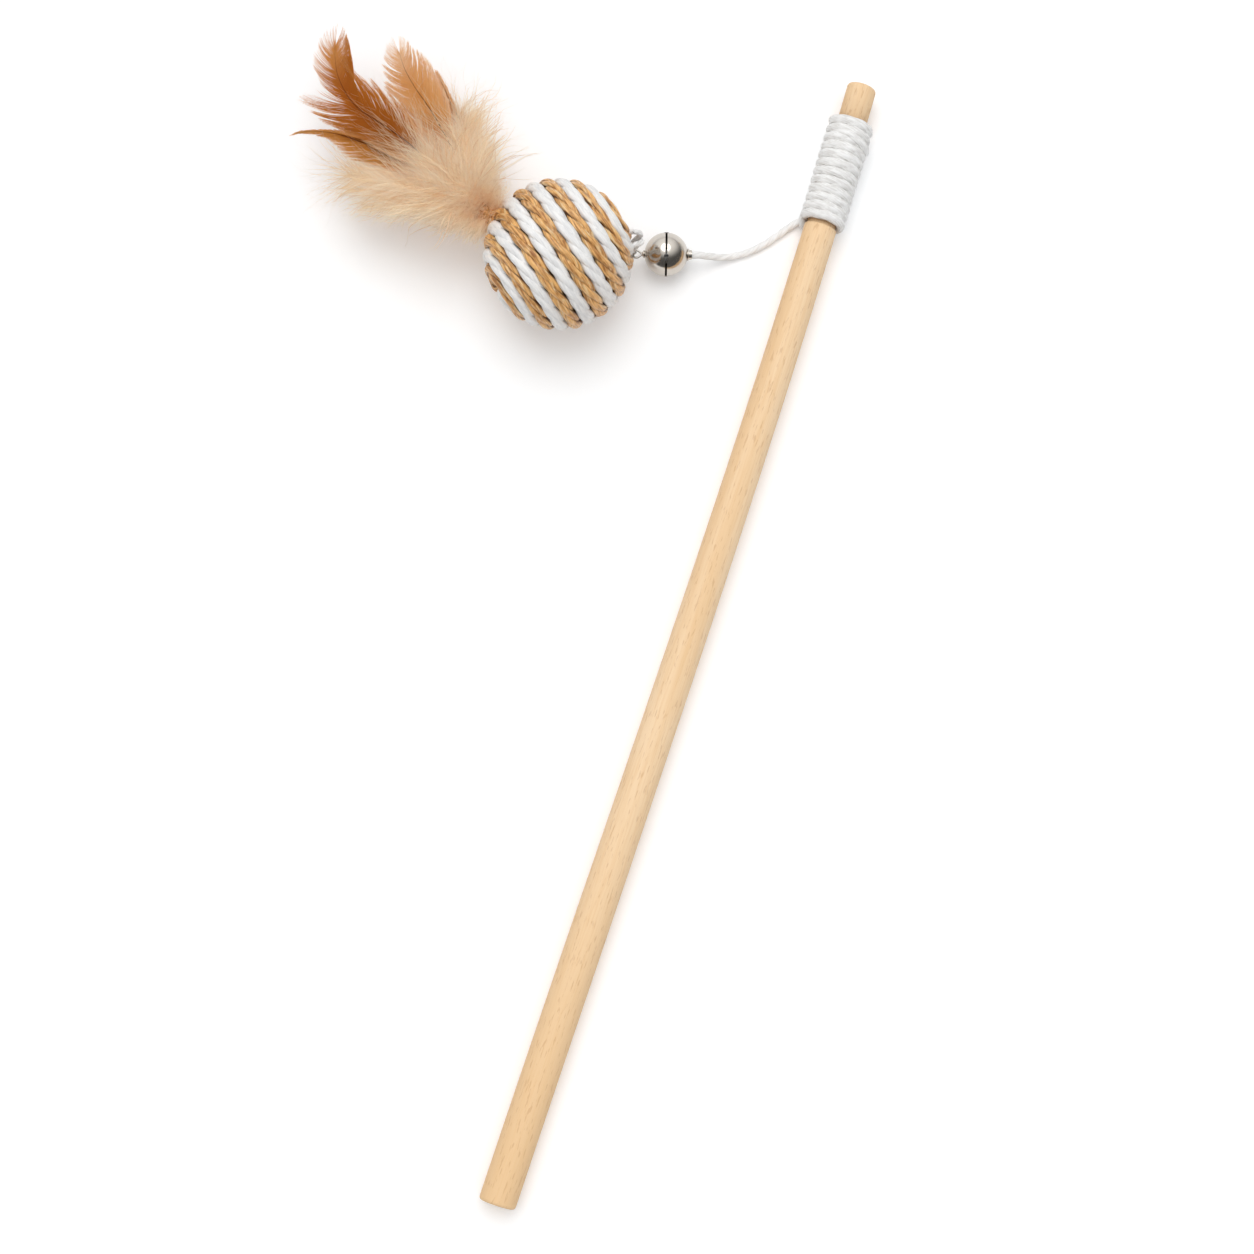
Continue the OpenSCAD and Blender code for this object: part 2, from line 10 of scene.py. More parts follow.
import bpy
import numpy as np
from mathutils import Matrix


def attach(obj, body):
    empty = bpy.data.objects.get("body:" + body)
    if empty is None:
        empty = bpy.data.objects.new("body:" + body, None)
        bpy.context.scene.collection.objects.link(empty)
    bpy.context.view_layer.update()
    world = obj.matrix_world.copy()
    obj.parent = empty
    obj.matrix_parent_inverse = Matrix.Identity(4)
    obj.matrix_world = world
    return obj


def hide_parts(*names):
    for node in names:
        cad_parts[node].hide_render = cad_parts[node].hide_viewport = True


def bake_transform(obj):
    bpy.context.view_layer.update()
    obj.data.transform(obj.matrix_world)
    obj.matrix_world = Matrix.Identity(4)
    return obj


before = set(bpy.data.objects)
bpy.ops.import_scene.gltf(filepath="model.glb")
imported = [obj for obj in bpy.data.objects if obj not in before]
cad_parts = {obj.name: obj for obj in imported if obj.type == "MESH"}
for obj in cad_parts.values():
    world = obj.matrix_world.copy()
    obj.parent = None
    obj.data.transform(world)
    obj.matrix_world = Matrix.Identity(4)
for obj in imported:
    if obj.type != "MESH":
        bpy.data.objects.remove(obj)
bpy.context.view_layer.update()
LOG = logging.getLogger("teaser_wand")

Colour = tuple[float, float, float, float]
Point = tuple[float, float, float]
Array = np.ndarray

MM = 0.001
UP = np.array([0.0, 0.0, 1.0])
BLACK: Colour = (0.0, 0.0, 0.0, 1.0)
WHITE: Colour = (1.0, 1.0, 1.0, 1.0)
# Soft pieces are pressed flat this far over the table
SKIN = 0.03 * MM


# Small helpers on numbers and vectors


def srgb(red: int, green: int, blue: int) -> Colour:
    """Turn a colour in steps of 0 to 255 into a linear one.

    Args:
        red: red step.
        green: green step.
        blue: blue step.

    Returns:
        The linear colour with full alpha.
    """
    shares = [step / 255 for step in (red, green, blue)]
    linear = [s / 12.92 if s <= 0.04045 else ((s + 0.055) / 1.055) ** 2.4 for s in shares]
    return (linear[0], linear[1], linear[2], 1.0)


def heading(degrees: float) -> Array:
    """Return the level unit vector with this heading from +X."""
    turn = math.radians(degrees)
    return np.array([math.cos(turn), math.sin(turn), 0.0])


def unit(vectors: Array) -> Array:
    """Return vectors of length one along the last axis."""
    vectors = np.asarray(vectors, float)
    return vectors / np.linalg.norm(vectors, axis=-1, keepdims=True)


def smooth(low: float, high: float, value: Array) -> Array:
    """Return a soft step from 0 at low to 1 at high."""
    share = np.clip((np.asarray(value, float) - low) / (high - low), 0, 1)
    return share * share * (3 - 2 * share)


def along(path: Array) -> Array:
    """Return the unit direction of a path at each of its points."""
    return unit(np.gradient(np.asarray(path, float), axis=0))


def evenly(path: Array, count: int) -> Array:
    """Place points at equal steps along a path.

    Args:
        path: points of the path.
        count: number of points wanted.

    Returns:
        The points, from the first to the last of the path.
    """
    run = np.r_[0, np.cumsum(np.linalg.norm(np.diff(path, axis=0), axis=1))]
    at = np.linspace(0, run[-1], count)
    return np.stack([np.interp(at, run, column) for column in path.T], axis=1)


def path_length(path: Array) -> float:
    """Return the length of a path."""
    return float(np.linalg.norm(np.diff(path, axis=0), axis=1).sum())


def upwards(path: Array) -> Array:
    """Return the way up for each point of a path."""
    return np.tile(UP, (len(path), 1))


def bezier(corners: Sequence[Array], count: int) -> Array:
    """Sample a cubic curve.

    Args:
        corners: its four control points.
        count: number of points wanted.

    Returns:
        The points of the curve.
    """
    t = np.linspace(0, 1, count)[:, None]
    a, b, c, d = corners
    return a * (1 - t) ** 3 + 3 * b * t * (1 - t) ** 2 + 3 * c * t * t * (1 - t) + d * t**3


def flowing(route: Array, steps: int) -> Array:
    """Draw a smooth curve through the points of a route.

    Args:
        route: points that the curve passes through.
        steps: number of steps from each point to the next.

    Returns:
        The points of the curve.
    """
    made: list[Array] = []
    last = len(route) - 1
    for i in range(last):
        a, b, c, d = (route[max(0, min(last, i + k))] for k in (-1, 0, 1, 2))
        for u in np.arange(steps) / steps:
            bend = 2 * a - 5 * b + 4 * c - d + u * (3 * b - a - 3 * c + d)
            made.append(b + 0.5 * u * ((c - a) + u * bend))
    made.append(route[last])
    return np.array(made)


# Node trees


class Term:
    """A socket in an expression: Python's operators on it add Math or Vector Math nodes."""

    def __init__(self, nodes: "Nodes", socket: bpy.types.NodeSocket) -> None:
        """Wrap a socket of a tree."""
        self.nodes = nodes
        self.socket = socket

    @staticmethod
    def is_vector(value: Any) -> bool:
        """Tell whether a term or a plain value has three parts."""
        if isinstance(value, Term):
            return value.socket.type in {"VECTOR", "RGBA"}
        return isinstance(value, (tuple, list))

    def pair(self, operation: str, first: Any, second: Any) -> "Term":
        """Join two values by an operation, in numbers or in vectors.

        Args:
            operation: name of the Math operation.
            first: left value or term.
            second: right value or term.

        Returns:
            The result's term.
        """
        if not (self.is_vector(first) or self.is_vector(second)):
            return self.nodes.maths(operation, first, second)
        if operation == "MULTIPLY" and self.is_vector(first) != self.is_vector(second):
            vector, number = (first, second) if self.is_vector(first) else (second, first)
            return self.nodes.vector("SCALE", vector, scale=number)
        return self.nodes.vector(operation, first, second)

    def __add__(self, other: Any) -> "Term":
        """Add."""
        return self.pair("ADD", self, other)

    def __radd__(self, other: Any) -> "Term":
        """Add, the other way round."""
        return self.pair("ADD", other, self)

    def __sub__(self, other: Any) -> "Term":
        """Subtract."""
        return self.pair("SUBTRACT", self, other)

    def __rsub__(self, other: Any) -> "Term":
        """Subtract, the other way round."""
        return self.pair("SUBTRACT", other, self)

    def __mul__(self, other: Any) -> "Term":
        """Multiply, or scale a vector."""
        return self.pair("MULTIPLY", self, other)

    def __rmul__(self, other: Any) -> "Term":
        """Multiply, the other way round."""
        return self.pair("MULTIPLY", other, self)

    def __truediv__(self, other: Any) -> "Term":
        """Divide."""
        return self.pair("DIVIDE", self, other)

    def __pow__(self, other: Any) -> "Term":
        """Raise to a power."""
        return self.pair("POWER", self, other)


class Nodes:
    """Adds nodes to one tree, all of them by way of add."""

    def __init__(self, tree: bpy.types.NodeTree) -> None:
        """Take the tree to fill."""
        self.tree = tree

    def add(
        self,
        kind: str,
        settings: Mapping[str, Any] | None = None,
        values: Mapping[Any, Any] | None = None,
    ) -> bpy.types.Node:
        """Add one node.

        Args:
            kind: the node's type.
            settings: its settings by name, set first; stops holds a ramp's places and colours.
            values: value or term of each input socket, by name or number.

        Returns:
            The node.
        """
        node = self.tree.nodes.new(kind)
        for name, value in (settings or {}).items():
            if name == "stops":
                ramp = node.color_ramp
                while len(ramp.elements) < len(value):
                    ramp.elements.new(1.0)
                for element, (place, colour) in zip(ramp.elements, value):
                    element.position, element.color = place, colour
            else:
                setattr(node, name, value)
        for key, value in (values or {}).items():
            if isinstance(value, Term):
                self.tree.links.new(value.socket, node.inputs[key])
            else:
                node.inputs[key].default_value = value
        return node

    def term(
        self,
        kind: str,
        settings: Mapping[str, Any] | None = None,
        values: Mapping[Any, Any] | None = None,
        out: Any = 0,
    ) -> Term:
        """Add one node and return the term of one of its outputs."""
        return Term(self, self.add(kind, settings, values).outputs[out])

    def maths(self, operation: str, *values: Any) -> Term:
        """Add a Math node on numbers."""
        return self.term("ShaderNodeMath", {"operation": operation}, dict(enumerate(values)))

    def vector(self, operation: str, *values: Any, scale: Any = None) -> Term:
        """Add a Vector Math node."""
        given = dict(enumerate(values)) | ({} if scale is None else {"Scale": scale})
        out = "Value" if operation in {"DOT_PRODUCT", "LENGTH"} else "Vector"
        return self.term("ShaderNodeVectorMath", {"operation": operation}, given, out)

    def ask(self, sizes: Mapping[str, int | float]) -> dict[str, Term]:
        """Give a tree of geometry its inputs: what it starts from, its sizes and a material.

        Args:
            sizes: default of each size by name, a whole number where it counts something.

        Returns:
            The terms of the inputs, by name.
        """
        kinds = {"Geometry": "NodeSocketGeometry"}
        for name, default in sizes.items():
            kinds[name] = "NodeSocketInt" if isinstance(default, int) else "NodeSocketFloat"
        kinds["Material"] = "NodeSocketMaterial"
        for name, kind in kinds.items():
            item = self.tree.interface.new_socket(name=name, in_out="INPUT", socket_type=kind)
            if name in sizes:
                item.default_value = sizes[name]
        node = self.add("NodeGroupInput")
        return {name: Term(self, node.outputs[name]) for name in kinds}

    def finish_with(self, geometry: Term, material: Term) -> None:
        """End a tree of geometry: smooth it, realize it, give it its material."""
        self.tree.interface.new_socket(
            name="Geometry", in_out="OUTPUT", socket_type="NodeSocketGeometry"
        )
        shaded = self.term("GeometryNodeSetShadeSmooth", values={0: geometry})
        real = self.term("GeometryNodeRealizeInstances", values={0: shaded})
        dressed = self.term(
            "GeometryNodeSetMaterial", values={"Geometry": real, "Material": material}
        )
        self.add("NodeGroupOutput", values={"Geometry": dressed})

    def place(self) -> Term:
        """Return the place on the piece, in the piece's own coordinates."""
        return self.term("ShaderNodeTexCoord", out="Object")

    def ray(self, kind: str) -> Term:
        """Tell whether a ray is of a kind, such as Is Camera Ray."""
        return self.term("ShaderNodeLightPath", out=kind)

    def part(self, vector: Term, axis: str) -> Term:
        """Return one part of a vector."""
        return self.term("ShaderNodeSeparateXYZ", values={0: vector}, out=axis)

    def parted(self, x: Any = 0.0, y: Any = 0.0, z: Any = 0.0) -> Term:
        """Return a vector of three parts."""
        return self.term("ShaderNodeCombineXYZ", values={"X": x, "Y": y, "Z": z})

    def unit(self, vector: Term) -> Term:
        """Return a vector at length one."""
        return self.vector("NORMALIZE", vector)

    def cross(self, first: Term, second: Term) -> Term:
        """Return the cross product of two vectors."""
        return self.vector("CROSS_PRODUCT", first, second)

    def sine(self, turn: Term) -> Term:
        """Return the sine of an angle."""
        return self.maths("SINE", turn)

    def cosine(self, turn: Term) -> Term:
        """Return the cosine of an angle."""
        return self.maths("COSINE", turn)

    def named(self, name: str, kind: str = "FLOAT") -> Term:
        """Read a named attribute in a tree of geometry."""
        return self.term("GeometryNodeInputNamedAttribute", {"data_type": kind}, {"Name": name})

    def keep(self, geometry: Term, name: str, value: Any, kind: str = "FLOAT") -> Term:
        """Store a named attribute on the points of a geometry."""
        return self.term(
            "GeometryNodeStoreNamedAttribute",
            {"data_type": kind, "domain": "POINT"},
            {"Geometry": geometry, "Name": name, "Value": value},
        )

    def attribute(self, name: str, out: str = "Fac") -> Term:
        """Read a named attribute in a material."""
        return self.term("ShaderNodeAttribute", {"attribute_name": name}, out=out)

    def noise(self, place: Term, scale: Any, detail: float = 2.0, out: int = 0) -> Term:
        """Add a noise pattern, as a number or, from output 1, as a colour."""
        values = {"Vector": place, "Scale": scale, "Detail": detail}
        return self.term("ShaderNodeTexNoise", None, values, out)

    def mix(self, share: Any, first: Any, second: Any) -> Term:
        """Mix two colours."""
        return self.term("ShaderNodeMix", {"data_type": "RGBA"}, {0: share, 6: first, 7: second}, 2)

    def ramp(self, share: Term, stops: Sequence[tuple[float, Colour]]) -> Term:
        """Colour a number by a ramp."""
        return self.term("ShaderNodeValToRGB", {"stops": stops}, {"Fac": share})

    def step(self, value: Term, low: float, high: float) -> Term:
        """Turn a number into a soft mask that rises from low to high."""
        return self.term(
            "ShaderNodeMapRange",
            {"interpolation_type": "SMOOTHSTEP"},
            {"Value": value, "From Min": low, "From Max": high},
        )

    def bump(self, height: Term, distance: float, strength: float = 1.0) -> Term:
        """Turn a height into a normal."""
        values = {"Strength": strength, "Distance": distance, "Height": height}
        return self.term("ShaderNodeBump", values=values)


# Finishes


@dataclass(frozen=True)
class Finish:
    """One finish of the toy, made into a material once. Thin barbs let some light through."""

    name: str
    through: float = 0.0
    glow: Colour = WHITE

    def material(self) -> bpy.types.Material:
        """Return the finish's material, making it at the first call."""
        name = f"{self.name}_finish"
        found = bpy.data.materials.get(name)
        if found:
            return found
        made = bpy.data.materials.new(name)
        made.use_nodes = True
        made.node_tree.nodes.clear()
        nodes = Nodes(made.node_tree)
        surface = nodes.term("ShaderNodeBsdfPrincipled", values=self.shade(nodes))
        if self.through:
            thin = nodes.term("ShaderNodeBsdfTranslucent", values={"Color": self.glow})
            both = {0: self.through, 1: surface, 2: thin}
            surface = nodes.term("ShaderNodeMixShader", values=both)
        nodes.add("ShaderNodeOutputMaterial", values={"Surface": surface})
        return made

    def shade(self, nodes: Nodes) -> dict[str, Any]:
        """Return a value or a term for each socket of the surface that the finish sets."""
        raise NotImplementedError


@dataclass(frozen=True)
class Beech(Finish):
    """Sanded beech with short dark flecks along the grain, warmer where it is held."""

    pale: Colour = srgb(252, 222, 184)
    warm: Colour = srgb(240, 200, 150)
    fleck: Colour = srgb(196, 142, 92)
    band_share: float = 0.6
    fibre_share: float = 0.45
    fleck_share: float = 0.3
    held_share: float = 0.75
    held_l: float = 200 * MM
    relief: float = 0.08 * MM

    def grain(self, nodes: Nodes, stretch: float, scale: float, detail: float) -> Term:
        """Return a noise that the grain draws out along the stick."""
        return nodes.noise(nodes.place() * (1.0, stretch, 1.0), scale, detail)

    def shade(self, nodes: Nodes) -> dict[str, Any]:
        """Colour by slow bands, fine fibres and flecks, and by the hand at the butt's end."""
        bands = nodes.step(self.grain(nodes, 0.03, 190.0, 3.0), 0.36, 0.66) * self.band_share
        fibres = self.grain(nodes, 0.035, 1900.0, 3.0)
        flecks = nodes.step(self.grain(nodes, 0.14, 1700.0, 2.0), 0.58, 0.68)
        held = 1.0 - nodes.step(nodes.part(nodes.place(), "Y"), 0.0, self.held_l)
        warmth = nodes.maths("MAXIMUM", bands, held * self.held_share)
        body = nodes.mix(warmth, self.pale, self.warm)
        body = nodes.mix(nodes.step(fibres, 0.42, 0.66) * self.fibre_share, body, self.warm)
        return {
            "Base Color": nodes.mix(flecks * self.fleck_share, body, self.fleck),
            "Roughness": 0.66 - fibres * 0.16,
            "Normal": nodes.bump(fibres - flecks * 0.6, self.relief, 0.5),
            "Specular IOR Level": 0.18,
        }


@dataclass(frozen=True)
class Fibre(Finish):
    """Strand of fine fibres that run round it in a steep twist, with painted shade where strands
    meet.

    The twist is in radians for each metre of strand.
    """

    pale: Colour = srgb(240, 240, 240)
    deep: Colour = srgb(214, 213, 212)
    crease: Colour = srgb(170, 168, 166)
    crease_share: float = 0.6
    crease_from: float = 0.0
    crease_to: float = 0.6
    twist: float = 500.0
    streaks: float = 3.2
    rough: float = 0.75
    relief: float = 0.12 * MM

    def shade(self, nodes: Nodes) -> dict[str, Any]:
        """Streak the strand by its own way round and its run, and paint shade where strands meet.
        """
        streak = nodes.noise(self.wrapped(nodes, 70.0), self.streaks, 4.0)
        cloud = nodes.noise(nodes.place(), 420.0, 2.0)
        mask = nodes.step(streak * 0.75 + cloud * 0.25, 0.32, 0.62)
        facing = nodes.part(nodes.attribute("rim", "Vector"), "X") + (streak - 0.5) * 0.6
        # Painted shade: darker where the strand turns away from the cord's outside, in the creases
        # between strands
        painted_crease_shade = 1.0 - nodes.step(facing, self.crease_from, self.crease_to)
        body = nodes.mix(mask, self.deep, self.pale)
        return {
            "Base Color": nodes.mix(painted_crease_shade * self.crease_share, body, self.crease),
            "Roughness": self.rough - streak * 0.12,
            "Normal": nodes.bump(streak, self.relief, 0.9),
        }

    def wrapped(self, nodes: Nodes, stretch: float) -> Term:
        """Return a place that follows the strand's own twist.

        Args:
            nodes: the material's nodes.
            stretch: how fast the place moves on along the strand.

        Returns:
            The place's term.
        """
        run = nodes.attribute("run")
        turned = nodes.term(
            "ShaderNodeVectorRotate",
            {"rotation_type": "Z_AXIS"},
            {"Vector": nodes.attribute("rim", "Vector"), "Angle": run * self.twist},
        )
        return turned + nodes.parted(z=run * stretch + nodes.attribute("strand") * 7.0)


@dataclass(frozen=True)
class PaperFibre(Fibre):
    """Strand of crushed and twisted paper with a thin gloss, and painted highlights on its folds.
    """

    pale: Colour = srgb(250, 194, 120)
    deep: Colour = srgb(160, 96, 36)
    crease: Colour = srgb(82, 40, 8)
    crease_share: float = 0.95
    crease_from: float = 0.04
    crease_to: float = 0.8
    gold: Colour = srgb(255, 226, 174)
    fold_share: float = 0.7
    line_share: float = 0.5
    twist: float = -160.0
    streaks: float = 2.6
    rough: float = 0.44
    relief: float = 0.5 * MM

    def shade(self, nodes: Nodes) -> dict[str, Any]:
        """Add painted highlights on the folds, fine lines of painted crease shade and a thin gloss
        to the fibre.
        """
        made = super().shade(nodes)
        # Painted highlight: pale gold streaks on the paper's folds
        fold_highlight = nodes.step(nodes.noise(self.wrapped(nodes, 150.0), 1.7, 3.0), 0.5, 0.68)
        # Painted shade: fine dark lines along the paper's creases
        line = nodes.step(nodes.noise(self.wrapped(nodes, 45.0), 4.6, 2.0), 0.56, 0.64)
        highlighted = nodes.mix(fold_highlight * self.fold_share, made["Base Color"], self.gold)
        made["Base Color"] = nodes.mix(line * self.line_share, highlighted, self.deep)
        return made | {"Coat Weight": 0.2, "Coat Roughness": 0.35}


@dataclass(frozen=True)
class Metal(Finish):
    """Plated or drawn metal with a faint unevenness."""

    tone: Colour = srgb(214, 209, 202)
    rough: float = 0.12
    wobble: float = 0.02 * MM

    def shade(self, nodes: Nodes) -> dict[str, Any]:
        """Vary the gloss and the surface a little."""
        place = nodes.place()
        return {
            "Base Color": self.tone,
            "Metallic": 1.0,
            "Roughness": self.rough + nodes.noise(place, 240.0, 3.0) * 0.08,
            "Normal": nodes.bump(nodes.noise(place, 420.0, 1.0), self.wobble, 0.5),
        }


@dataclass(frozen=True)
class Pressed(Finish):
    """Pressed board or set glue: lumpy, with darker pits."""

    pale: Colour = srgb(190, 150, 100)
    deep: Colour = srgb(120, 84, 48)
    grain: float = 900.0
    rough: float = 0.8
    relief: float = 0.4 * MM

    def shade(self, nodes: Nodes) -> dict[str, Any]:
        """Speckle and pit the surface."""
        lumps = nodes.noise(nodes.place(), self.grain, 4.0)
        return {
            "Base Color": nodes.mix(nodes.step(lumps, 0.35, 0.65), self.deep, self.pale),
            "Roughness": self.rough,
            "Normal": nodes.bump(lumps, self.relief, 0.8),
        }


@dataclass(frozen=True)
class Barbed(Finish):
    """Barbs of a feather: coloured along each barb and from barb to barb."""

    through: float = 0.3
    glow: Colour = srgb(222, 150, 80)
    root: Colour = srgb(160, 86, 20)
    middle: Colour = srgb(192, 114, 36)
    tip: Colour = srgb(226, 170, 104)
    base: Colour = srgb(248, 214, 170)
    strand: Colour = srgb(122, 62, 18)
    strand_share: float = 0.35
    end_share: float = 0.55
    mottle_share: float = 0.3
    base_from: float = 0.1
    base_to: float = 0.34
    rough: float = 0.6

    def shade(self, nodes: Nodes) -> dict[str, Any]:
        """Blend from the pale base of the feather to its brown vane and pale edge."""
        run, rank, luck = (nodes.attribute(name) for name in ("run", "rank", "luck"))
        uneven = luck - 0.5
        stops = [(0.0, self.root), (0.55, self.middle), (1.0, self.tip)]
        vane = nodes.ramp(run + uneven * 0.3, stops)
        vane = nodes.mix(nodes.step(rank, 0.7, 1.0) * self.end_share, vane, self.tip)
        mottle = nodes.step(nodes.noise(nodes.place(), 130.0, 3.0), 0.35, 0.7)
        vane = nodes.mix(mottle * self.mottle_share, vane, self.root)
        body = nodes.mix(
            nodes.step(rank + uneven * 0.14, self.base_from, self.base_to), self.base, vane
        )
        dark = nodes.step(luck, 0.8, 0.9) * self.strand_share
        return {
            "Base Color": nodes.mix(dark, body, self.strand),
            "Roughness": self.rough,
            "Specular IOR Level": 0.1,
        }


@dataclass(frozen=True)
class Down(Barbed):
    """Fluffy down, cream with peach roots."""

    through: float = 0.35
    glow: Colour = srgb(255, 247, 230)
    root: Colour = srgb(255, 240, 212)
    middle: Colour = srgb(255, 245, 224)
    tip: Colour = srgb(255, 250, 236)
    base: Colour = srgb(255, 236, 204)
    strand: Colour = srgb(204, 146, 88)
    strand_share: float = 0.62
    base_from: float = -0.25
    base_to: float = 0.35
    rough: float = 0.8


@dataclass(frozen=True)
class Table(Finish):
    """Plain white table."""

    tone: Colour = (0.968, 0.976, 0.985, 1.0)
    lift: float = 0.11

    def shade(self, nodes: Nodes) -> dict[str, Any]:
        """Keep the table plain and matt, and lift what is seen of it a little."""
        seen = nodes.ray("Is Camera Ray") + nodes.ray("Is Glossy Ray")
        seen = nodes.maths("MINIMUM", seen + nodes.ray("Is Transmission Ray"), 1.0)
        return {
            "Base Color": self.tone,
            "Emission Color": nodes.mix(seen * self.lift, BLACK, WHITE),
            "Emission Strength": 1.0,
            "Roughness": 1.0,
            "Specular IOR Level": 0.0,
        }


BEECH = Beech("beech")
WRAP_CORD = Fibre(
    "white_cord", pale=srgb(252, 252, 251), deep=srgb(226, 224, 221), twist=-300.0,
    crease_share=0.4, streaks=2.4, relief=0.2 * MM,
)
LEAD_COTTON = Fibre(
    "lead_cotton", pale=srgb(250, 249, 248), deep=srgb(232, 231, 229), crease_share=0.3,
    relief=0.06 * MM,
)
WHITE_PAPER = Fibre(
    "white_paper_cord", pale=srgb(253, 252, 250), deep=srgb(232, 232, 232),
    crease=srgb(172, 171, 172), crease_share=0.45, twist=-140.0, rough=0.55, relief=0.3 * MM,
    streaks=2.6,
)
NATURAL_PAPER = PaperFibre("natural_paper_cord")
NICKEL = Metal("bell_nickel", tone=srgb(204, 197, 188), rough=0.13)
LINK_STEEL = Metal("link_steel", tone=srgb(186, 182, 176), rough=0.2, wobble=0.04 * MM)
PELLET_STEEL = Metal("pellet_steel", tone=srgb(110, 108, 105), rough=0.4, wobble=0.08 * MM)
CORE_BOARD = Pressed("core_board")
SET_GLUE = Pressed(
    "quill_glue", pale=srgb(228, 180, 122), deep=srgb(170, 116, 62), grain=1400.0, rough=0.45
)
CARAMEL = Barbed("caramel_barbs")
FAWN = Barbed(
    "fawn_barbs", root=srgb(220, 156, 90), middle=srgb(238, 188, 128), tip=srgb(252, 230, 198),
    strand=srgb(170, 108, 52),
)
GOLDEN = Barbed(
    "golden_barbs", root=srgb(186, 118, 46), middle=srgb(212, 148, 74), tip=srgb(232, 186, 124),
    strand=srgb(134, 84, 34),
)
QUILL = Barbed(
    "quill", root=srgb(100, 52, 18), middle=srgb(100, 52, 18), tip=srgb(100, 52, 18),
    base=srgb(206, 156, 102), through=0.0,
)
CREAM_DOWN = Down("cream_down")
LOOSE_DOWN = Down("loose_down", middle=srgb(246, 216, 176), tip=srgb(198, 154, 110))
TABLE_TOP = Table("table_top")


# Geometry trees and the pieces that they grow


class Twist(Enum):
    """Which way the strands of a cord twist round each other."""

    RIGHT = 1
    LEFT = -1


@dataclass(frozen=True)
class CordMake:
    """One make of three-strand cord, in metres.

    The lay length is the run of one full twist, and the flatness the depth of a strand as a share
    of its width.
    """

    twist: Twist
    strand_r: float
    half_width: float
    half_depth: float
    lay_l: float
    sides: int = 12
    flatness: float = 1.0
    strands: int = 3

    @property
    def radius(self) -> float:
        """Half of the cord's depth."""
        return self.half_depth + self.strand_r * self.flatness


@dataclass
class Rail:
    """A path that something follows, with the way that faces out at each point."""

    points: Array
    outward: Array
    more: dict[str, Array] = field(default_factory=dict)

    def as_object(self, name: str) -> bpy.types.Object:
        """Make the rail an object of edges that carries its attributes."""
        mesh = bpy.data.meshes.new(name)
        edges = [(i, i + 1) for i in range(len(self.points) - 1)]
        mesh.from_pydata([tuple(p) for p in self.points], edges, [])
        mesh.attributes.new("outward", "FLOAT_VECTOR", "POINT").data.foreach_set(
            "vector", np.asarray(self.outward, np.float32).ravel()
        )
        set_attributes(mesh, self.more)
        return linked(bpy.data.objects.new(name, mesh))


def linked(thing: bpy.types.Object) -> bpy.types.Object:
    """Put an object in the scene and return it."""
    bpy.context.scene.collection.objects.link(thing)
    return thing


def set_attributes(mesh: bpy.types.Mesh, attributes: Mapping[str, Array]) -> None:
    """Store numbers on the points of a mesh, by name."""
    for name, values in attributes.items():
        mesh.attributes.new(name, "FLOAT", "POINT").data.foreach_set(
            "value", np.asarray(values, np.float32)
        )


@cache
def cord_tree() -> bpy.types.NodeTree:
    """Build the tree that twists strands round a rail.

    Returns:
        The tree, made once.
    """
    tree = bpy.data.node_groups.new("cord", "GeometryNodeTree")
    nodes = Nodes(tree)
    asked = nodes.ask({
        "Strands": 3, "Strand Radius": MM, "Half Width": MM, "Half Depth": MM,
        "Lay Length": 10 * MM, "Flatness": 1.0, "Sides": 10,
    })
    line = nodes.term("GeometryNodeMeshToCurve", values={0: asked["Geometry"]})
    line = nodes.keep(line, "run", nodes.term("GeometryNodeSplineParameter", out="Length"))
    doubled = nodes.add(
        "GeometryNodeDuplicateElements",
        {"domain": "SPLINE"},
        {"Geometry": line, "Amount": asked["Strands"]},
    )
    strand = Term(nodes, doubled.outputs["Duplicate Index"])
    way = nodes.term("GeometryNodeInputTangent")
    side = nodes.unit(nodes.cross(way, nodes.named("outward", "FLOAT_VECTOR")))
    out = nodes.cross(side, way)
    turn = (nodes.named("run") / asked["Lay Length"] + strand / asked["Strands"]) * math.tau
    offset = side * (nodes.sine(turn) * asked["Half Width"]) + out * (
        nodes.cosine(turn) * asked["Half Depth"]
    )
    laid = nodes.keep(Term(nodes, doubled.outputs["Geometry"]), "strand", strand + 0.0)
    laid = nodes.term("GeometryNodeSetPosition", values={"Geometry": laid, "Offset": offset})
    laid = nodes.term(
        "GeometryNodeSetCurveNormal", {"mode": "FREE"}, {"Curve": laid, "Normal": out}
    )
    radius = asked["Strand Radius"]
    ring = nodes.term(
        "GeometryNodeCurvePrimitiveCircle", values={"Resolution": asked["Sides"], "Radius": radius}
    )
    rim = nodes.term("GeometryNodeInputPosition") / nodes.parted(radius, radius, 1.0)
    ring = nodes.keep(ring, "rim", rim, "FLOAT_VECTOR")
    flat = nodes.parted(asked["Flatness"], 1.0, 1.0)
    ring = nodes.term("GeometryNodeTransform", values={"Geometry": ring, "Scale": flat})
    tube = nodes.term(
        "GeometryNodeCurveToMesh", values={"Curve": laid, "Profile Curve": ring, "Fill Caps": True}
    )
    nodes.finish_with(tube, asked["Material"])
    return tree


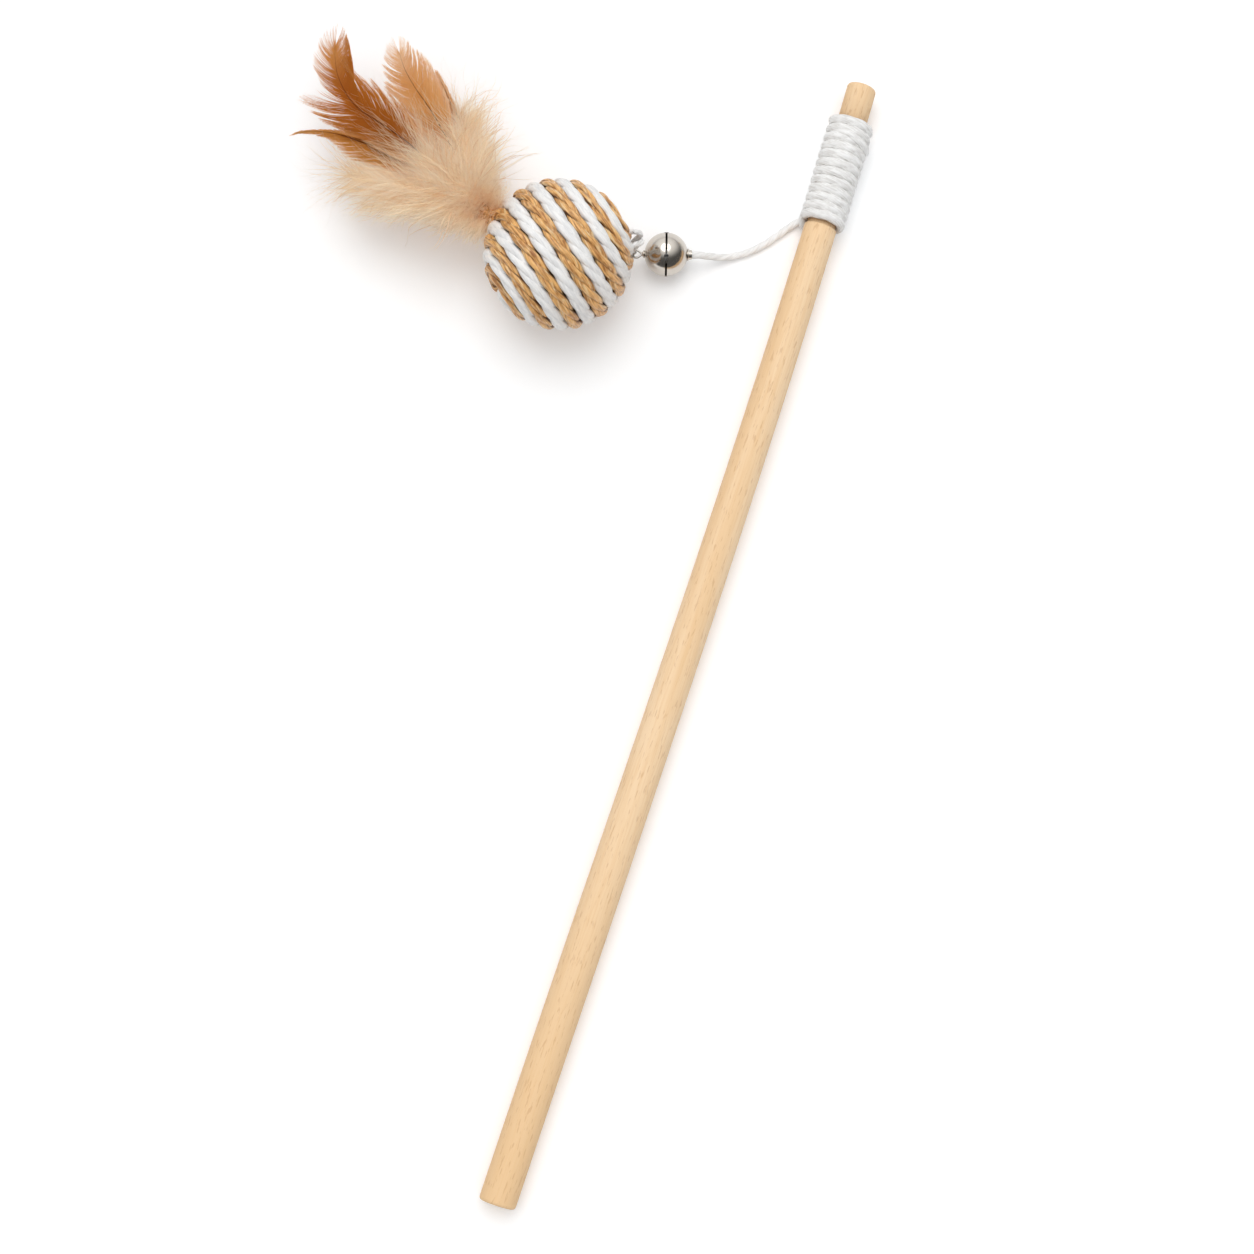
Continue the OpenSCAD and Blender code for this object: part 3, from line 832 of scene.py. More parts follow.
class BarbTree:
    """The tree that grows barbs from a shaft, each a tapered strip that bends to the tip."""

    # What is stored on the shaft's points or on the strip only to shape the barbs
    SPENT = (
        "foot", "way", "outward", "reach_left", "reach_right", "sweep", "across", "swing", "bunch",
        "gather", "size", "hand",
    )
    # How far the clumps of the shaft's two sides are out of step
    STAGGER = 0.21
    # Only the few barbs with the highest draw stray: it is raised to this power
    STRAY_POWER = 14.0
    # A barb's width at its root and its loss to the tip, then the same from barb to barb
    RUN_TAPER = (1.05, 0.85)
    RANK_TAPER = (1.15, 0.75)
    # How far luck tilts a barb's face, and how far luck and swing part neighbours in the ruffle
    TILT = 0.8
    LUCK_DRIFT = 0.4
    SWING_DRIFT = 0.3

    def __init__(self) -> None:
        """Make the tree and its inputs, and fill it."""
        self.tree = bpy.data.node_groups.new("barbs", "GeometryNodeTree")
        self.nodes = Nodes(self.tree)
        self.asked = self.nodes.ask({
            "Barbs": 200, "Segments": 6, "Barb Width": 0.25 * MM, "Bend": 0.5, "Spread": 0.0,
            "Ruffle": 0.0, "Ruffle Scale": 80.0, "Clumps": 20.0, "Clump Angle": 0.2, "Gather": 0.0,
            "Stray": 0.0, "Camber": 0.1, "Uneven": 0.15, "Jitter": 0.1, "Seed": 1,
        })
        self.nodes.finish_with(self.shaped(self.rooted()), self.asked["Material"])

    def chance(self, low: float, high: float, shift: int, by: Term | None = None) -> Term:
        """Draw one number for each barb, or for each clump.

        Args:
            low: least value.
            high: greatest value.
            shift: what sets this draw apart from the others.
            by: number of the clump, where the barbs of one clump draw alike.

        Returns:
            The number's term.
        """
        values: dict[Any, Any] = {2: low, 3: high, "Seed": self.asked["Seed"] + float(shift)}
        if by is not None:
            values["ID"] = by
        return self.nodes.term("FunctionNodeRandomValue", {"data_type": "FLOAT"}, values, 1)

    def rooted(self) -> Term:
        """Put a plain strip for each barb on the shaft, with its place and its draws.

        Returns:
            The strips, each still flat and one metre long.
        """
        nodes, asked, chance = self.nodes, self.asked, self.chance
        line = nodes.term("GeometryNodeMeshToCurve", values={0: asked["Geometry"]})
        line = nodes.term(
            "GeometryNodeResampleCurve", values={"Curve": line, "Count": asked["Barbs"]}
        )
        rank = nodes.term("GeometryNodeSplineParameter", out="Factor")
        hand = nodes.maths("MODULO", nodes.term("GeometryNodeInputIndex"), 2.0) * 2.0 - 1.0
        place = rank * asked["Clumps"] + hand * self.STAGGER + chance(0.0, 0.25, 3)
        bunch = nodes.maths("FLOOR", place) * 2.0 + hand
        for name, value in (
            ("rank", rank),
            ("luck", chance(0.0, 1.0, 1)),
            ("hand", hand),
            ("swing", chance(-0.25, 0.25, 2) + chance(-0.8, 0.8, 6, bunch)),
            ("bunch", chance(-1.0, 1.0, 4, bunch)),
            ("gather", 0.5 - nodes.maths("FRACT", place)),
            ("size", chance(0.0, 1.0, 5)),
        ):
            line = nodes.keep(line, name, value)
        for name, kind in (("foot", "Position"), ("way", "Tangent")):
            value = nodes.term("GeometryNodeInput" + kind)
            line = nodes.keep(line, name, value, "FLOAT_VECTOR")
        count = {"Vertices X": asked["Segments"] + 1.0, "Vertices Y": 2}
        strip = nodes.term("GeometryNodeMeshGrid", values={"Size X": 1.0, "Size Y": 1.0} | count)
        spot = nodes.term("GeometryNodeInputPosition")
        strip = nodes.keep(strip, "run", nodes.part(spot, "X") + 0.5)
        strip = nodes.keep(strip, "across", nodes.part(spot, "Y") * 2.0)
        placed = nodes.term(
            "GeometryNodeInstanceOnPoints", values={"Points": line, "Instance": strip}
        )
        return nodes.term("GeometryNodeRealizeInstances", values={0: placed})

    def shaped(self, strips: Term) -> Term:
        """Bend, clump and ruffle the strips into barbs.

        Args:
            strips: the strips from rooted.

        Returns:
            The barbs.
        """
        nodes, asked = self.nodes, self.asked
        run, luck, hand, swing = (nodes.named(n) for n in ("run", "luck", "hand", "swing"))
        bowed = run * run
        way = nodes.unit(nodes.named("way", "FLOAT_VECTOR"))
        side = nodes.unit(nodes.cross(nodes.named("outward", "FLOAT_VECTOR"), way)) * hand
        out = nodes.unit(nodes.cross(way, side) * hand)
        turn = swing * asked["Spread"]
        fan = side * nodes.cosine(turn) + out * nodes.sine(turn)
        edge = nodes.cross(way, fan)
        angle = nodes.named("sweep") + (luck - 0.5) * asked["Jitter"]
        start = fan * nodes.sine(angle) + way * nodes.cosine(angle)
        flat = fan * nodes.cosine(angle) - way * nodes.sine(angle)

        on_left = nodes.maths("GREATER_THAN", hand, 0.0)
        reach = nodes.named("reach_left") * on_left + nodes.named("reach_right") * (1.0 - on_left)
        size = nodes.named("size")
        stray = size**self.STRAY_POWER * asked["Stray"]
        reach = reach * (1.0 - size * asked["Uneven"] + stray)
        curve = bowed * 0.5 * asked["Bend"]
        sway = nodes.named("bunch") * asked["Clump Angle"] * bowed
        middle = start * (run - curve) + way * curve + flat * sway
        middle = middle + out * (asked["Camber"] * bowed)
        gather = way * (nodes.named("gather") * asked["Gather"] * bowed)
        spot = nodes.named("foot", "FLOAT_VECTOR") + middle * reach + gather

        drift = spot + edge * (luck * self.LUCK_DRIFT) + way * (swing * self.SWING_DRIFT)
        blur = nodes.noise(drift, asked["Ruffle Scale"], 1.0, 1)
        ruffle = (blur - (0.5, 0.5, 0.5)) * (asked["Ruffle"] * run * 2.0)
        half = asked["Barb Width"] * 0.5
        for share, (full, loss) in ((run, self.RUN_TAPER), (nodes.named("rank"), self.RANK_TAPER)):
            half = half * (full - share * loss)
        brim = nodes.unit(flat + edge * (luck - 0.5) * self.TILT) * (nodes.named("across") * half)
        return nodes.term(
            "GeometryNodeSetPosition", values={"Geometry": strips, "Position": spot + ruffle + brim}
        )


@cache
def barb_tree() -> bpy.types.NodeTree:
    """Return the tree that grows barbs, made once."""
    return BarbTree().tree


def grow(
    name: str, base: bpy.types.Object, tree: bpy.types.NodeTree, values: Mapping[str, Any]
) -> bpy.types.Object:
    """Run a tree on an object and keep the result as a plain mesh.

    Args:
        name: name of the finished piece.
        base: object that the tree starts from; it is used up.
        tree: the tree.
        values: the tree's inputs by name.

    Returns:
        The finished piece, at the origin.
    """
    modifier = base.modifiers.new("grow", "NODES")
    modifier.node_group = tree
    for item in tree.interface.items_tree:
        if item.item_type == "SOCKET" and item.in_out == "INPUT" and item.name in values:
            modifier[item.identifier] = values[item.name]
    depsgraph = bpy.context.evaluated_depsgraph_get()
    mesh = bpy.data.meshes.new_from_object(base.evaluated_get(depsgraph), depsgraph=depsgraph)
    base.modifiers.remove(modifier)
    bpy.data.objects.remove(base)
    mesh.name = name
    for spent in BarbTree.SPENT:
        if spent in mesh.attributes:
            mesh.attributes.remove(mesh.attributes[spent])
    return linked(bpy.data.objects.new(name, mesh))


def joined(name: str, pieces: Sequence[bpy.types.Object]) -> bpy.types.Object:
    """Join pieces into one object under a name."""
    bpy.ops.object.select_all(action="DESELECT")
    for piece in pieces:
        piece.select_set(True)
    bpy.context.view_layer.objects.active = pieces[0]
    if len(pieces) > 1:
        bpy.ops.object.join()
    pieces[0].name = pieces[0].data.name = name
    return pieces[0]


def settle(piece: bpy.types.Object, table_z: float) -> None:
    """Press a soft piece flat where it would sink into the table."""
    mesh = piece.data
    places = np.empty(len(mesh.vertices) * 3, np.float32)
    mesh.vertices.foreach_get("co", places)
    places = places.reshape(-1, 3)
    places[:, 2] = np.maximum(places[:, 2], table_z + SKIN)
    mesh.vertices.foreach_set("co", places.ravel())
    mesh.update()


def lay_cord(name: str, rail: Rail, make: CordMake, finish: Finish) -> bpy.types.Object:
    """Lay one cord along a rail.

    Args:
        name: name of the piece.
        rail: its centreline.
        make: the make of the cord.
        finish: finish of its strands.

    Returns:
        The cord's object.
    """
    values = {
        "Strands": make.strands,
        "Strand Radius": make.strand_r,
        "Half Width": make.half_width,
        "Half Depth": make.half_depth,
        "Lay Length": make.lay_l * make.twist.value,
        "Flatness": make.flatness,
        "Sides": make.sides,
        "Material": finish.material(),
    }
    return grow(name, rail.as_object(name + "_rail"), cord_tree(), values)


def meshed(
    name: str, points: Sequence[Array], faces: Sequence[tuple[int, ...]], finish: Finish
) -> bpy.types.Object:
    """Make a smooth mesh of one finish.

    Args:
        name: name of the piece.
        points: its points.
        faces: the points of each face, by number.
        finish: its finish.

    Returns:
        The piece.
    """
    mesh = bpy.data.meshes.new(name)
    mesh.from_pydata([tuple(p) for p in points], [], faces)
    mesh.shade_smooth()
    mesh.materials.append(finish.material())
    return linked(bpy.data.objects.new(name, mesh))


def turned(
    name: str,
    profile: Sequence[tuple[float, float]],
    sides: int,
    finish: Finish,
    place: Callable[[Array], Array],
) -> bpy.types.Object:
    """Turn a profile about the local Z axis into a closed, smooth mesh.

    Args:
        name: name of the piece.
        profile: radius and height of each of its points, from one pole to the other.
        sides: number of sides.
        finish: its finish.
        place: takes local points to the part's frame.

    Returns:
        The piece.
    """
    rings = profile[1:-1]
    turns = np.arange(sides) * math.tau / sides
    points = [np.array([0.0, 0.0, profile[0][1]])]
    for radius, height in rings:
        points += [np.array([radius * math.cos(a), radius * math.sin(a), height]) for a in turns]
    points.append(np.array([0.0, 0.0, profile[-1][1]]))
    last = len(points) - 1
    faces: list[tuple[int, ...]] = []
    for k in range(sides):
        n = (k + 1) % sides
        faces.append((0, 1 + n, 1 + k))
        for i in range(len(rings) - 1):
            a, b = 1 + i * sides, 1 + (i + 1) * sides
            faces.append((a + k, a + n, b + n, b + k))
        top = 1 + (len(rings) - 1) * sides
        faces.append((last, top + k, top + n))
    return meshed(name, place(np.array(points)), faces, finish)


def dress(node: str, finish: Finish) -> None:
    """Give a CAD node its finish."""
    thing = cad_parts[node]
    thing.data.materials.clear()
    thing.data.materials.append(finish.material())


def hand_over(piece: bpy.types.Object, body: str, slot: str, *nodes: str) -> None:
    """Let a piece ride on a body and stand for CAD nodes, which are hidden."""
    if nodes:
        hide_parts(*nodes)
    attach(piece, body)
    LOG.info("%s: %d faces, rides on %s", piece.name, len(piece.data.polygons), body)


# Where the pieces lie


@dataclass(frozen=True)
class Layout:
    """Sizes that place the pieces, in metres and degrees, as in the part.

    The plug's gaps are those before and after it together. Only the bow isn't in the part: its way
    to +X is a cubic in the share of the stick's length, with these three factors.
    """

    rod_l: float = 392 * MM
    grip_d: float = 12.3 * MM
    seat_d: float = 9.8 * MM
    wrap_cord_d: float = 2.8 * MM
    wrap_pitch: float = 3.24 * MM
    wrap_turns: float = 11.25
    wrap_room: float = 0.1 * MM
    tip_bare_l: float = 9.6 * MM
    bell_d: float = 14.8 * MM
    bell_x: float = -44.8 * MM
    bell_y: float = 315.8 * MM
    bell_heading: float = 197.0
    link_wire_d: float = 0.8 * MM
    link_reach: float = 4 * MM
    ring_d: float = 5.5 * MM
    ring_wire_d: float = 0.7 * MM
    link_room: float = 0.15 * MM
    ball_d: float = 50 * MM
    wind_cord_d: float = 4.6 * MM
    ball_heading: float = 209.7
    hanger_d: float = 2 * MM
    hanger_reach: float = 2.85 * MM
    tuft_heading: float = 168.0
    plug_l: float = 5 * MM
    plug_gaps: float = 0.3 * MM
    flat_share: float = 0.1
    bow: Point = (3.0 * MM, 8.8 * MM, -11.15 * MM)

    def bowed(self, run: Array) -> Array:
        """Return how far the stick is bowed to +X.

        Args:
            run: distances along the stick.

        Returns:
            The way that each place moves.
        """
        t = np.clip(np.asarray(run, float) / self.rod_l, 0, 1)
        first, second, third = self.bow
        return np.outer(t * (first + t * (second + t * third)), heading(0))

    @property
    def table_z(self) -> float:
        """Height of the table."""
        return -self.grip_d / 2

    @property
    def wrap_r(self) -> float:
        """Radius of the winding's centreline."""
        return self.seat_d / 2 + self.wrap_room + self.wrap_cord_d / 2

    @property
    def wrap_start(self) -> float:
        """Place of the winding's low end along the stick."""
        turns = self.wrap_pitch * self.wrap_turns
        return self.rod_l - self.tip_bare_l - self.wrap_cord_d / 2 - turns

    @property
    def rod_way(self) -> Array:
        """Unit vector along the stick, which leans on its winding."""
        rise = self.wrap_r + self.wrap_cord_d * (0.5 - self.flat_share) - self.grip_d / 2
        lean = math.asin(rise / self.wrap_start)
        return np.array([0.0, math.cos(lean), math.sin(lean)])

    @property
    def rod_up(self) -> Array:
        """Unit vector square to the stick, upwards."""
        return np.cross([1.0, 0.0, 0.0], self.rod_way)

    @property
    def bell_centre(self) -> Array:
        """Centre of the bell, which lies on the table."""
        return np.array([self.bell_x, self.bell_y, self.table_z + self.bell_d / 2])

    @property
    def link_point(self) -> Array:
        """Far bend of the link wire, where the ring hangs."""
        return self.bell_centre + (self.bell_d / 2 + self.link_reach) * heading(self.bell_heading)

    @property
    def hanger_bend_at(self) -> float:
        """Distance from the link point to the bend of the ball's hanger loop."""
        ring_r = (self.ring_d - self.ring_wire_d) / 2
        inside = self.link_wire_d / 2 + self.ring_wire_d / 2 + self.link_room
        return 2 * ring_r - inside - self.ring_wire_d / 2 - self.hanger_d / 2 - self.link_room

    @property
    def ball_at(self) -> float:
        """Distance from the link point to the ball's centre."""
        return self.hanger_bend_at + self.hanger_reach + self.ball_d / 2

    @cached_property
    def ball_line(self) -> Array:
        """Unit vector from the link point to the ball's centre."""
        ball_z = self.table_z + self.ball_d / 2 - self.flat_share * self.wind_cord_d
        climb = math.asin((ball_z - self.bell_centre[2]) / self.ball_at)
        return math.cos(climb) * heading(self.ball_heading) + math.sin(climb) * UP

    @property
    def ball_centre(self) -> Array:
        """Centre of the ball."""
        return self.link_point + self.ball_at * self.ball_line

    @property
    def tuft_root(self) -> Array:
        """Middle of the plug's end, where the quills leave it."""
        out = self.ball_d / 2 + self.plug_gaps + self.plug_l
        return self.ball_centre + out * heading(self.tuft_heading)

    def on_stick(self, radius: Array, turn: Array, run: Array) -> tuple[Array, Array]:
        """Place points round the stick.

        Args:
            radius: distance of each from the axis.
            turn: angle round the stick in radians, from +X over the top.
            run: distance along the stick.

        Returns:
            The points, and the way out at each.
        """
        out = np.cos(turn)[:, None] * heading(0) + np.sin(turn)[:, None] * self.rod_up
        centre = run[:, None] * self.rod_way + self.bowed(run)
        return centre + np.asarray(radius)[:, None] * out, out


# The toy's sub-assemblies


@dataclass
class Studio:
    """Camera, lamps and white table."""

    layout: Layout
    eye: Point = (19.01 * MM, 77.01 * MM, 873.78 * MM)
    azimuth: float = 18.02
    elevation: float = 82.17
    focal_px: float = 2662.7
    frame_px: float = 1254.0
    sensor_mm: float = 36.0
    nearest: float = 0.01
    farthest: float = 20.0
    key_heading: float = 114.0
    key_climb: float = 68.0
    key_level: float = 0.3
    key_spread: float = 0.8
    room_low: float = 0.15
    room_high: float = 1.23
    gloss_dim: float = 0.1
    gloss_bright: float = 1.15
    gloss_from: float = 0.15
    gloss_to: float = 0.95
    gloss_climb: float = 50.0
    down_bounces: int = 20
    other_bounces: int = 4
    table_half: float = 3.0

    def build(self) -> None:
        """Set up the camera, the lamp, the room's light and the table."""
        self.camera()
        self.key_lamp()
        self.room_light()
        self.table()
        scene = bpy.context.scene
        scene.view_settings.view_transform = "Standard"
        # Pale down only looks pale when light passes through many of its barbs
        scene.cycles.diffuse_bounces = self.down_bounces
        scene.cycles.max_bounces = self.down_bounces + self.other_bounces

    def camera(self) -> None:
        """Place the camera at the photograph's viewing angle."""
        data = bpy.data.cameras.new("camera")
        data.sensor_width = self.sensor_mm
        data.lens = self.focal_px / self.frame_px * self.sensor_mm
        data.clip_start, data.clip_end = self.nearest, self.farthest
        thing = linked(bpy.data.objects.new("camera", data))
        thing.location = self.eye
        thing.rotation_euler = (math.radians(90 - self.elevation), 0, math.radians(self.azimuth))
        bpy.context.scene.camera = thing

    def toward_key(self, climb: float) -> Array:
        """Return the unit vector at this climb above the key lamp's heading."""
        turn = math.radians(climb)
        return math.cos(turn) * heading(self.key_heading) + math.sin(turn) * UP

    def key_lamp(self) -> None:
        """Hang one broad lamp that lights level ground at the key level."""
        toward = self.toward_key(self.key_climb)
        sun = bpy.data.lights.new("key_lamp", "SUN")
        sun.energy = self.key_level * math.pi / toward[2]
        sun.angle = self.key_spread
        lamp = linked(bpy.data.objects.new("key_lamp", sun))
        x, y, z = -toward
        lamp.rotation_euler = (
            math.atan2(math.hypot(x, y), -z), 0.0, math.atan2(y, x) - math.pi / 2
        )

    def room_light(self) -> None:
        """Light the toy by a white room that is brighter overhead, with a box lamp for gloss."""
        world = bpy.data.worlds.new("studio_air")
        world.use_nodes = True
        world.node_tree.nodes.clear()
        nodes = Nodes(world.node_tree)
        way = nodes.term("ShaderNodeTexCoord", out="Generated")
        facing = nodes.vector("DOT_PRODUCT", way, tuple(self.toward_key(self.gloss_climb)))
        box = nodes.step(facing, self.gloss_from, self.gloss_to)
        bright = box * (self.gloss_bright - self.gloss_dim) + self.gloss_dim
        high = nodes.maths("MAXIMUM", nodes.part(way, "Z"), 0.0)
        room = high * high * (self.room_high - self.room_low) + self.room_low
        lit = room + nodes.ray("Is Glossy Ray") * (bright - room)
        level = lit + nodes.ray("Is Camera Ray") * (1.0 - lit)
        light = nodes.term("ShaderNodeBackground", values={"Color": WHITE, "Strength": level})
        nodes.add("ShaderNodeOutputWorld", values={"Surface": light})
        bpy.context.scene.world = world

    def table(self) -> None:
        """Lay the white table under the toy."""
        corners = [
            np.array([x * self.table_half, y * self.table_half, self.layout.table_z])
            for x, y in ((-1, -1), (1, -1), (1, 1), (-1, 1))
        ]
        meshed("table", corners, [(0, 1, 2, 3)], TABLE_TOP)


@dataclass
class LeadCord:
    """Free cord from the winding to the bell, with its stopper knot."""

    layout: Layout
    diameter: float = 2.6 * MM
    route: tuple[Point, ...] = (
        (-4.4, 344.1, -4.7), (-6.2, 343.1, -4.6), (-8.4, 340.4, -4.7), (-11.2, 335.8, -4.8),
        (-14.6, 331, -4.8), (-18.4, 327.2, -4.8), (-22.6, 324.2, -4.6), (-26.6, 322, -3.4),
        (-30, 320.6, -1.4), (-33, 319.5, 0.5),
    )
    # Shares of the stick's bow that the first points of the route follow
    bow_shares: tuple[float, ...] = (1.0, 0.8, 0.45, 0.15)
    start_back: Point = (1.3, 0.1, 0.0)
    blend_lead: float = 0.5 * MM
    blend_points: int = 8
    mouth_at: float = 8.93 * MM
    knot_at: float = 2.3 * MM
    knot_lean: float = 0.968 * MM
    knot_ring_r: float = 1.014 * MM
    knot_wave: float = 0.3 * MM
    make: CordMake = CordMake(Twist.LEFT, 0.95 * MM, 0.35 * MM, 0.35 * MM, 14 * MM)
    knot_make: CordMake = CordMake(Twist.RIGHT, 0.55 * MM, 0.3 * MM, 0.3 * MM, 6 * MM, 8)

    def centreline(self) -> Array:
        """Return the cord's line from the winding to the knot."""
        route = [np.array(p) * MM for p in self.route]
        axis = heading(self.layout.bell_heading)
        for at in (self.mouth_at + self.diameter / 2, self.mouth_at, self.knot_at):
            route.append(self.layout.bell_centre - at * axis)
        aside = self.layout.bowed(route[0][1:2])[0]
        for number, share in enumerate(self.bow_shares):
            route[number] = route[number] + share * aside
        line = flowing(np.array(route), 6)
        return np.vstack([route[0] + np.array(self.start_back) * MM, line])

    def build(self) -> None:
        line = evenly(self.centreline(), 90)
        cord = lay_cord("lead_cord_strands", Rail(line, upwards(line)), self.make, LEAD_COTTON)
        settle(cord, self.layout.table_z)
        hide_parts("lead_cord")
        start, end = line[0] + self.blend_lead * heading(0), line[self.blend_points]
        tuple(start)
        tuple(end)
        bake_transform(cord)
        path_length(line)
        LOG.info("lead cord: %.1f mm long", path_length(line) / MM)
        self.knot()

    def knot(self) -> None:
        """Make the stopper knot of two crossed loops of cord inside the bell."""
        axis = heading(self.layout.bell_heading)
        side = np.cross(UP, axis)
        t = np.linspace(0, math.tau, 73)
        reach = self.knot_ring_r + self.knot_wave * np.cos(3 * t)
        loops = (
            np.outer(self.knot_lean * np.sin(2 * t), axis)
            + np.outer(reach * np.cos(t), side)
            + np.outer(reach * np.sin(t), UP)
        )
        rail = Rail(self.layout.bell_centre + loops, unit(loops))
        knot = lay_cord("stopper_knot", rail, self.knot_make, LEAD_COTTON)
        hand_over(knot, "lead", "lead_cord", "cord_knot")


@dataclass(frozen=True)
class Tail:
    """Short end of a cord over the winding.

    Its points have degrees round the stick from +X over the top, and millimetres along the stick
    and from its axis.
    """

    name: str
    turns: tuple[float, ...]
    runs: tuple[float, ...]
    radii: tuple[float, ...]


@dataclass
class Stick:
    """Turned beech stick with the cord wound on its seat."""

    layout: Layout
    sides: int = 96
    edge: float = 1.1 * MM
    face_lap: float = 0.02 * MM
    grip_l: float = 92 * MM
    shoulder_d: float = 11.1 * MM
    tip_d: float = 10 * MM
    step_l: float = 0.05 * MM
    taper_from: float = 0.03
    taper_rings: int = 34
    wound_start: float = 341.8 * MM
    wound_pitch: float = 3.1 * MM
    wound_turns: float = 12.05
    wound_margin: float = 1.2 * MM
    hidden_share: float = 0.18
    wander: float = 0.12 * MM
    wander_rate: float = 2.3
    wander_phase: float = 0.7
    make: CordMake = CordMake(Twist.LEFT, 1.3 * MM, 0.4 * MM, 0.26 * MM, 17 * MM)
    tail_make: CordMake = CordMake(Twist.LEFT, 1.15 * MM, 0.38 * MM, 0.3 * MM, 17 * MM)
    tails: tuple[Tail, ...] = (
        Tail(
            "crossing", (135, 112, 90, 60, 30, 0, -25),
            (373.0, 372.8, 372.4, 371.6, 370.8, 370.2, 369.8), (5.9, 6.5, 7.0, 7.3, 7.3, 7.0, 5.9),
        ),
        Tail(
            "hitch", (178, 190, 199, 207, 220), (346.2, 344.2, 342.2, 340.8, 340.0),
            (5.8, 6.7, 6.9, 6.6, 5.8),
        ),
    )

    def build(self) -> None:
        """Turn the stick, wind its cord and tuck in the ends."""
        stick = turned("beech_stick", self.profile(), self.sides, BEECH, self.lie)
        hand_over(stick, "wand", "beech", "rod")
        winding = joined("cord_winding", [self.winding(), *map(self.tail, self.tails)])
        settle(winding, self.layout.table_z)
        hand_over(winding, "wand", "white_cord", "cord_wrap")

    def profile(self) -> list[tuple[float, float]]:
        """Return the stick's outline, with its rounded ends, long taper and cord seat.

        Returns:
            Radius and distance from the butt of each point.
        """
        lay, e, step = self.layout, self.edge, self.step_l
        grip, shoulder, tip = lay.grip_d / 2, self.shoulder_d / 2, self.tip_d / 2
        arc = [(math.sin(a), 1 - math.cos(a)) for a in np.linspace(0, math.pi / 2, 9)]
        seat_from = self.wound_start - self.wound_margin
        seat_to = self.wound_start + self.wound_pitch * self.wound_turns + self.wound_margin
        return [
            (0.0, 0.0),
            (grip - e - self.face_lap, 0.0),
            *((grip - e + e * s, e * h) for s, h in arc),
            *((grip, y) for y in np.linspace(2 * e, self.grip_l, 6)),
            *(
                (grip + (shoulder - grip) * t, self.grip_l + (seat_from - self.grip_l) * t)
                for t in np.linspace(self.taper_from, 1, self.taper_rings)
            ),
            (shoulder - step, seat_from + step),
            (lay.seat_d / 2, seat_from + 2 * step),
            (lay.seat_d / 2, seat_to),
            (tip, seat_to + step),
            (tip, lay.rod_l - 2 * e),
            *((tip - e + e * s, lay.rod_l - e * h) for s, h in reversed(arc)),
            (tip - e - self.face_lap, lay.rod_l),
            (0.0, lay.rod_l),
        ]

    def lie(self, points: Array) -> Array:
        """Lay the turned form along the stick's slightly bowed axis."""
        x, y, run = points.T
        across = np.outer(x, heading(0)) - np.outer(y, self.layout.rod_up)
        return across + np.outer(run, self.layout.rod_way) + self.layout.bowed(run)

    def winding(self) -> bpy.types.Object:
        """Wind the cord, with turns that touch and wander a little."""
        count = int(self.wound_turns * self.sides)
        k = np.linspace(0, self.wound_turns, count)
        share = k + self.hidden_share * np.sin(k * math.tau)
        wave = np.sin(k * self.wander_rate) * np.sin(k * math.pi + self.wander_phase)
        points, out = self.layout.on_stick(
            np.full(count, self.layout.wrap_r),
            math.tau * k - math.pi / 2,
            self.wound_start + self.wound_pitch * share + self.wander * wave,
        )
        return lay_cord("wound_turns", Rail(points, out), self.make, WRAP_CORD)

    def tail(self, tail: Tail) -> bpy.types.Object:
        """Lay a short end of the cord over the winding."""
        at = np.arange(len(tail.turns))
        t = np.linspace(0, at[-1], 30)
        turn, run, radius = (np.interp(t, at, v) for v in (tail.turns, tail.runs, tail.radii))
        points, out = self.layout.on_stick(radius * MM, np.radians(turn), run * MM)
        return lay_cord(tail.name, Rail(points, out), self.tail_make, WRAP_CORD)


@dataclass
class Bell:
    """Round slit bell with its eyelets, pellet, link wire and ring."""

    layout: Layout

    def build(self) -> None:
        """Dress the bell's pressed, turned and bent pieces."""
        finishes = {
            "bell_half_cord_side": NICKEL,
            "bell_half_link_side": NICKEL,
            "eyelet_cord_side": NICKEL,
            "eyelet_link_side": NICKEL,
            "link_wire": LINK_STEEL,
            "link_ring": LINK_STEEL,
            "bell_pellet": PELLET_STEEL,
        }
        for node, finish in finishes.items():
            dress(node, finish)


@dataclass(frozen=True)
class Winding:
    """One of the ball's two cords.

    Its first angle is the one from the ball's waist at which it passes the lowest point.
    """

    name: str
    make: CordMake
    finish: Finish
    first: float
    points_a_lay: int
    slot: str
    node: str


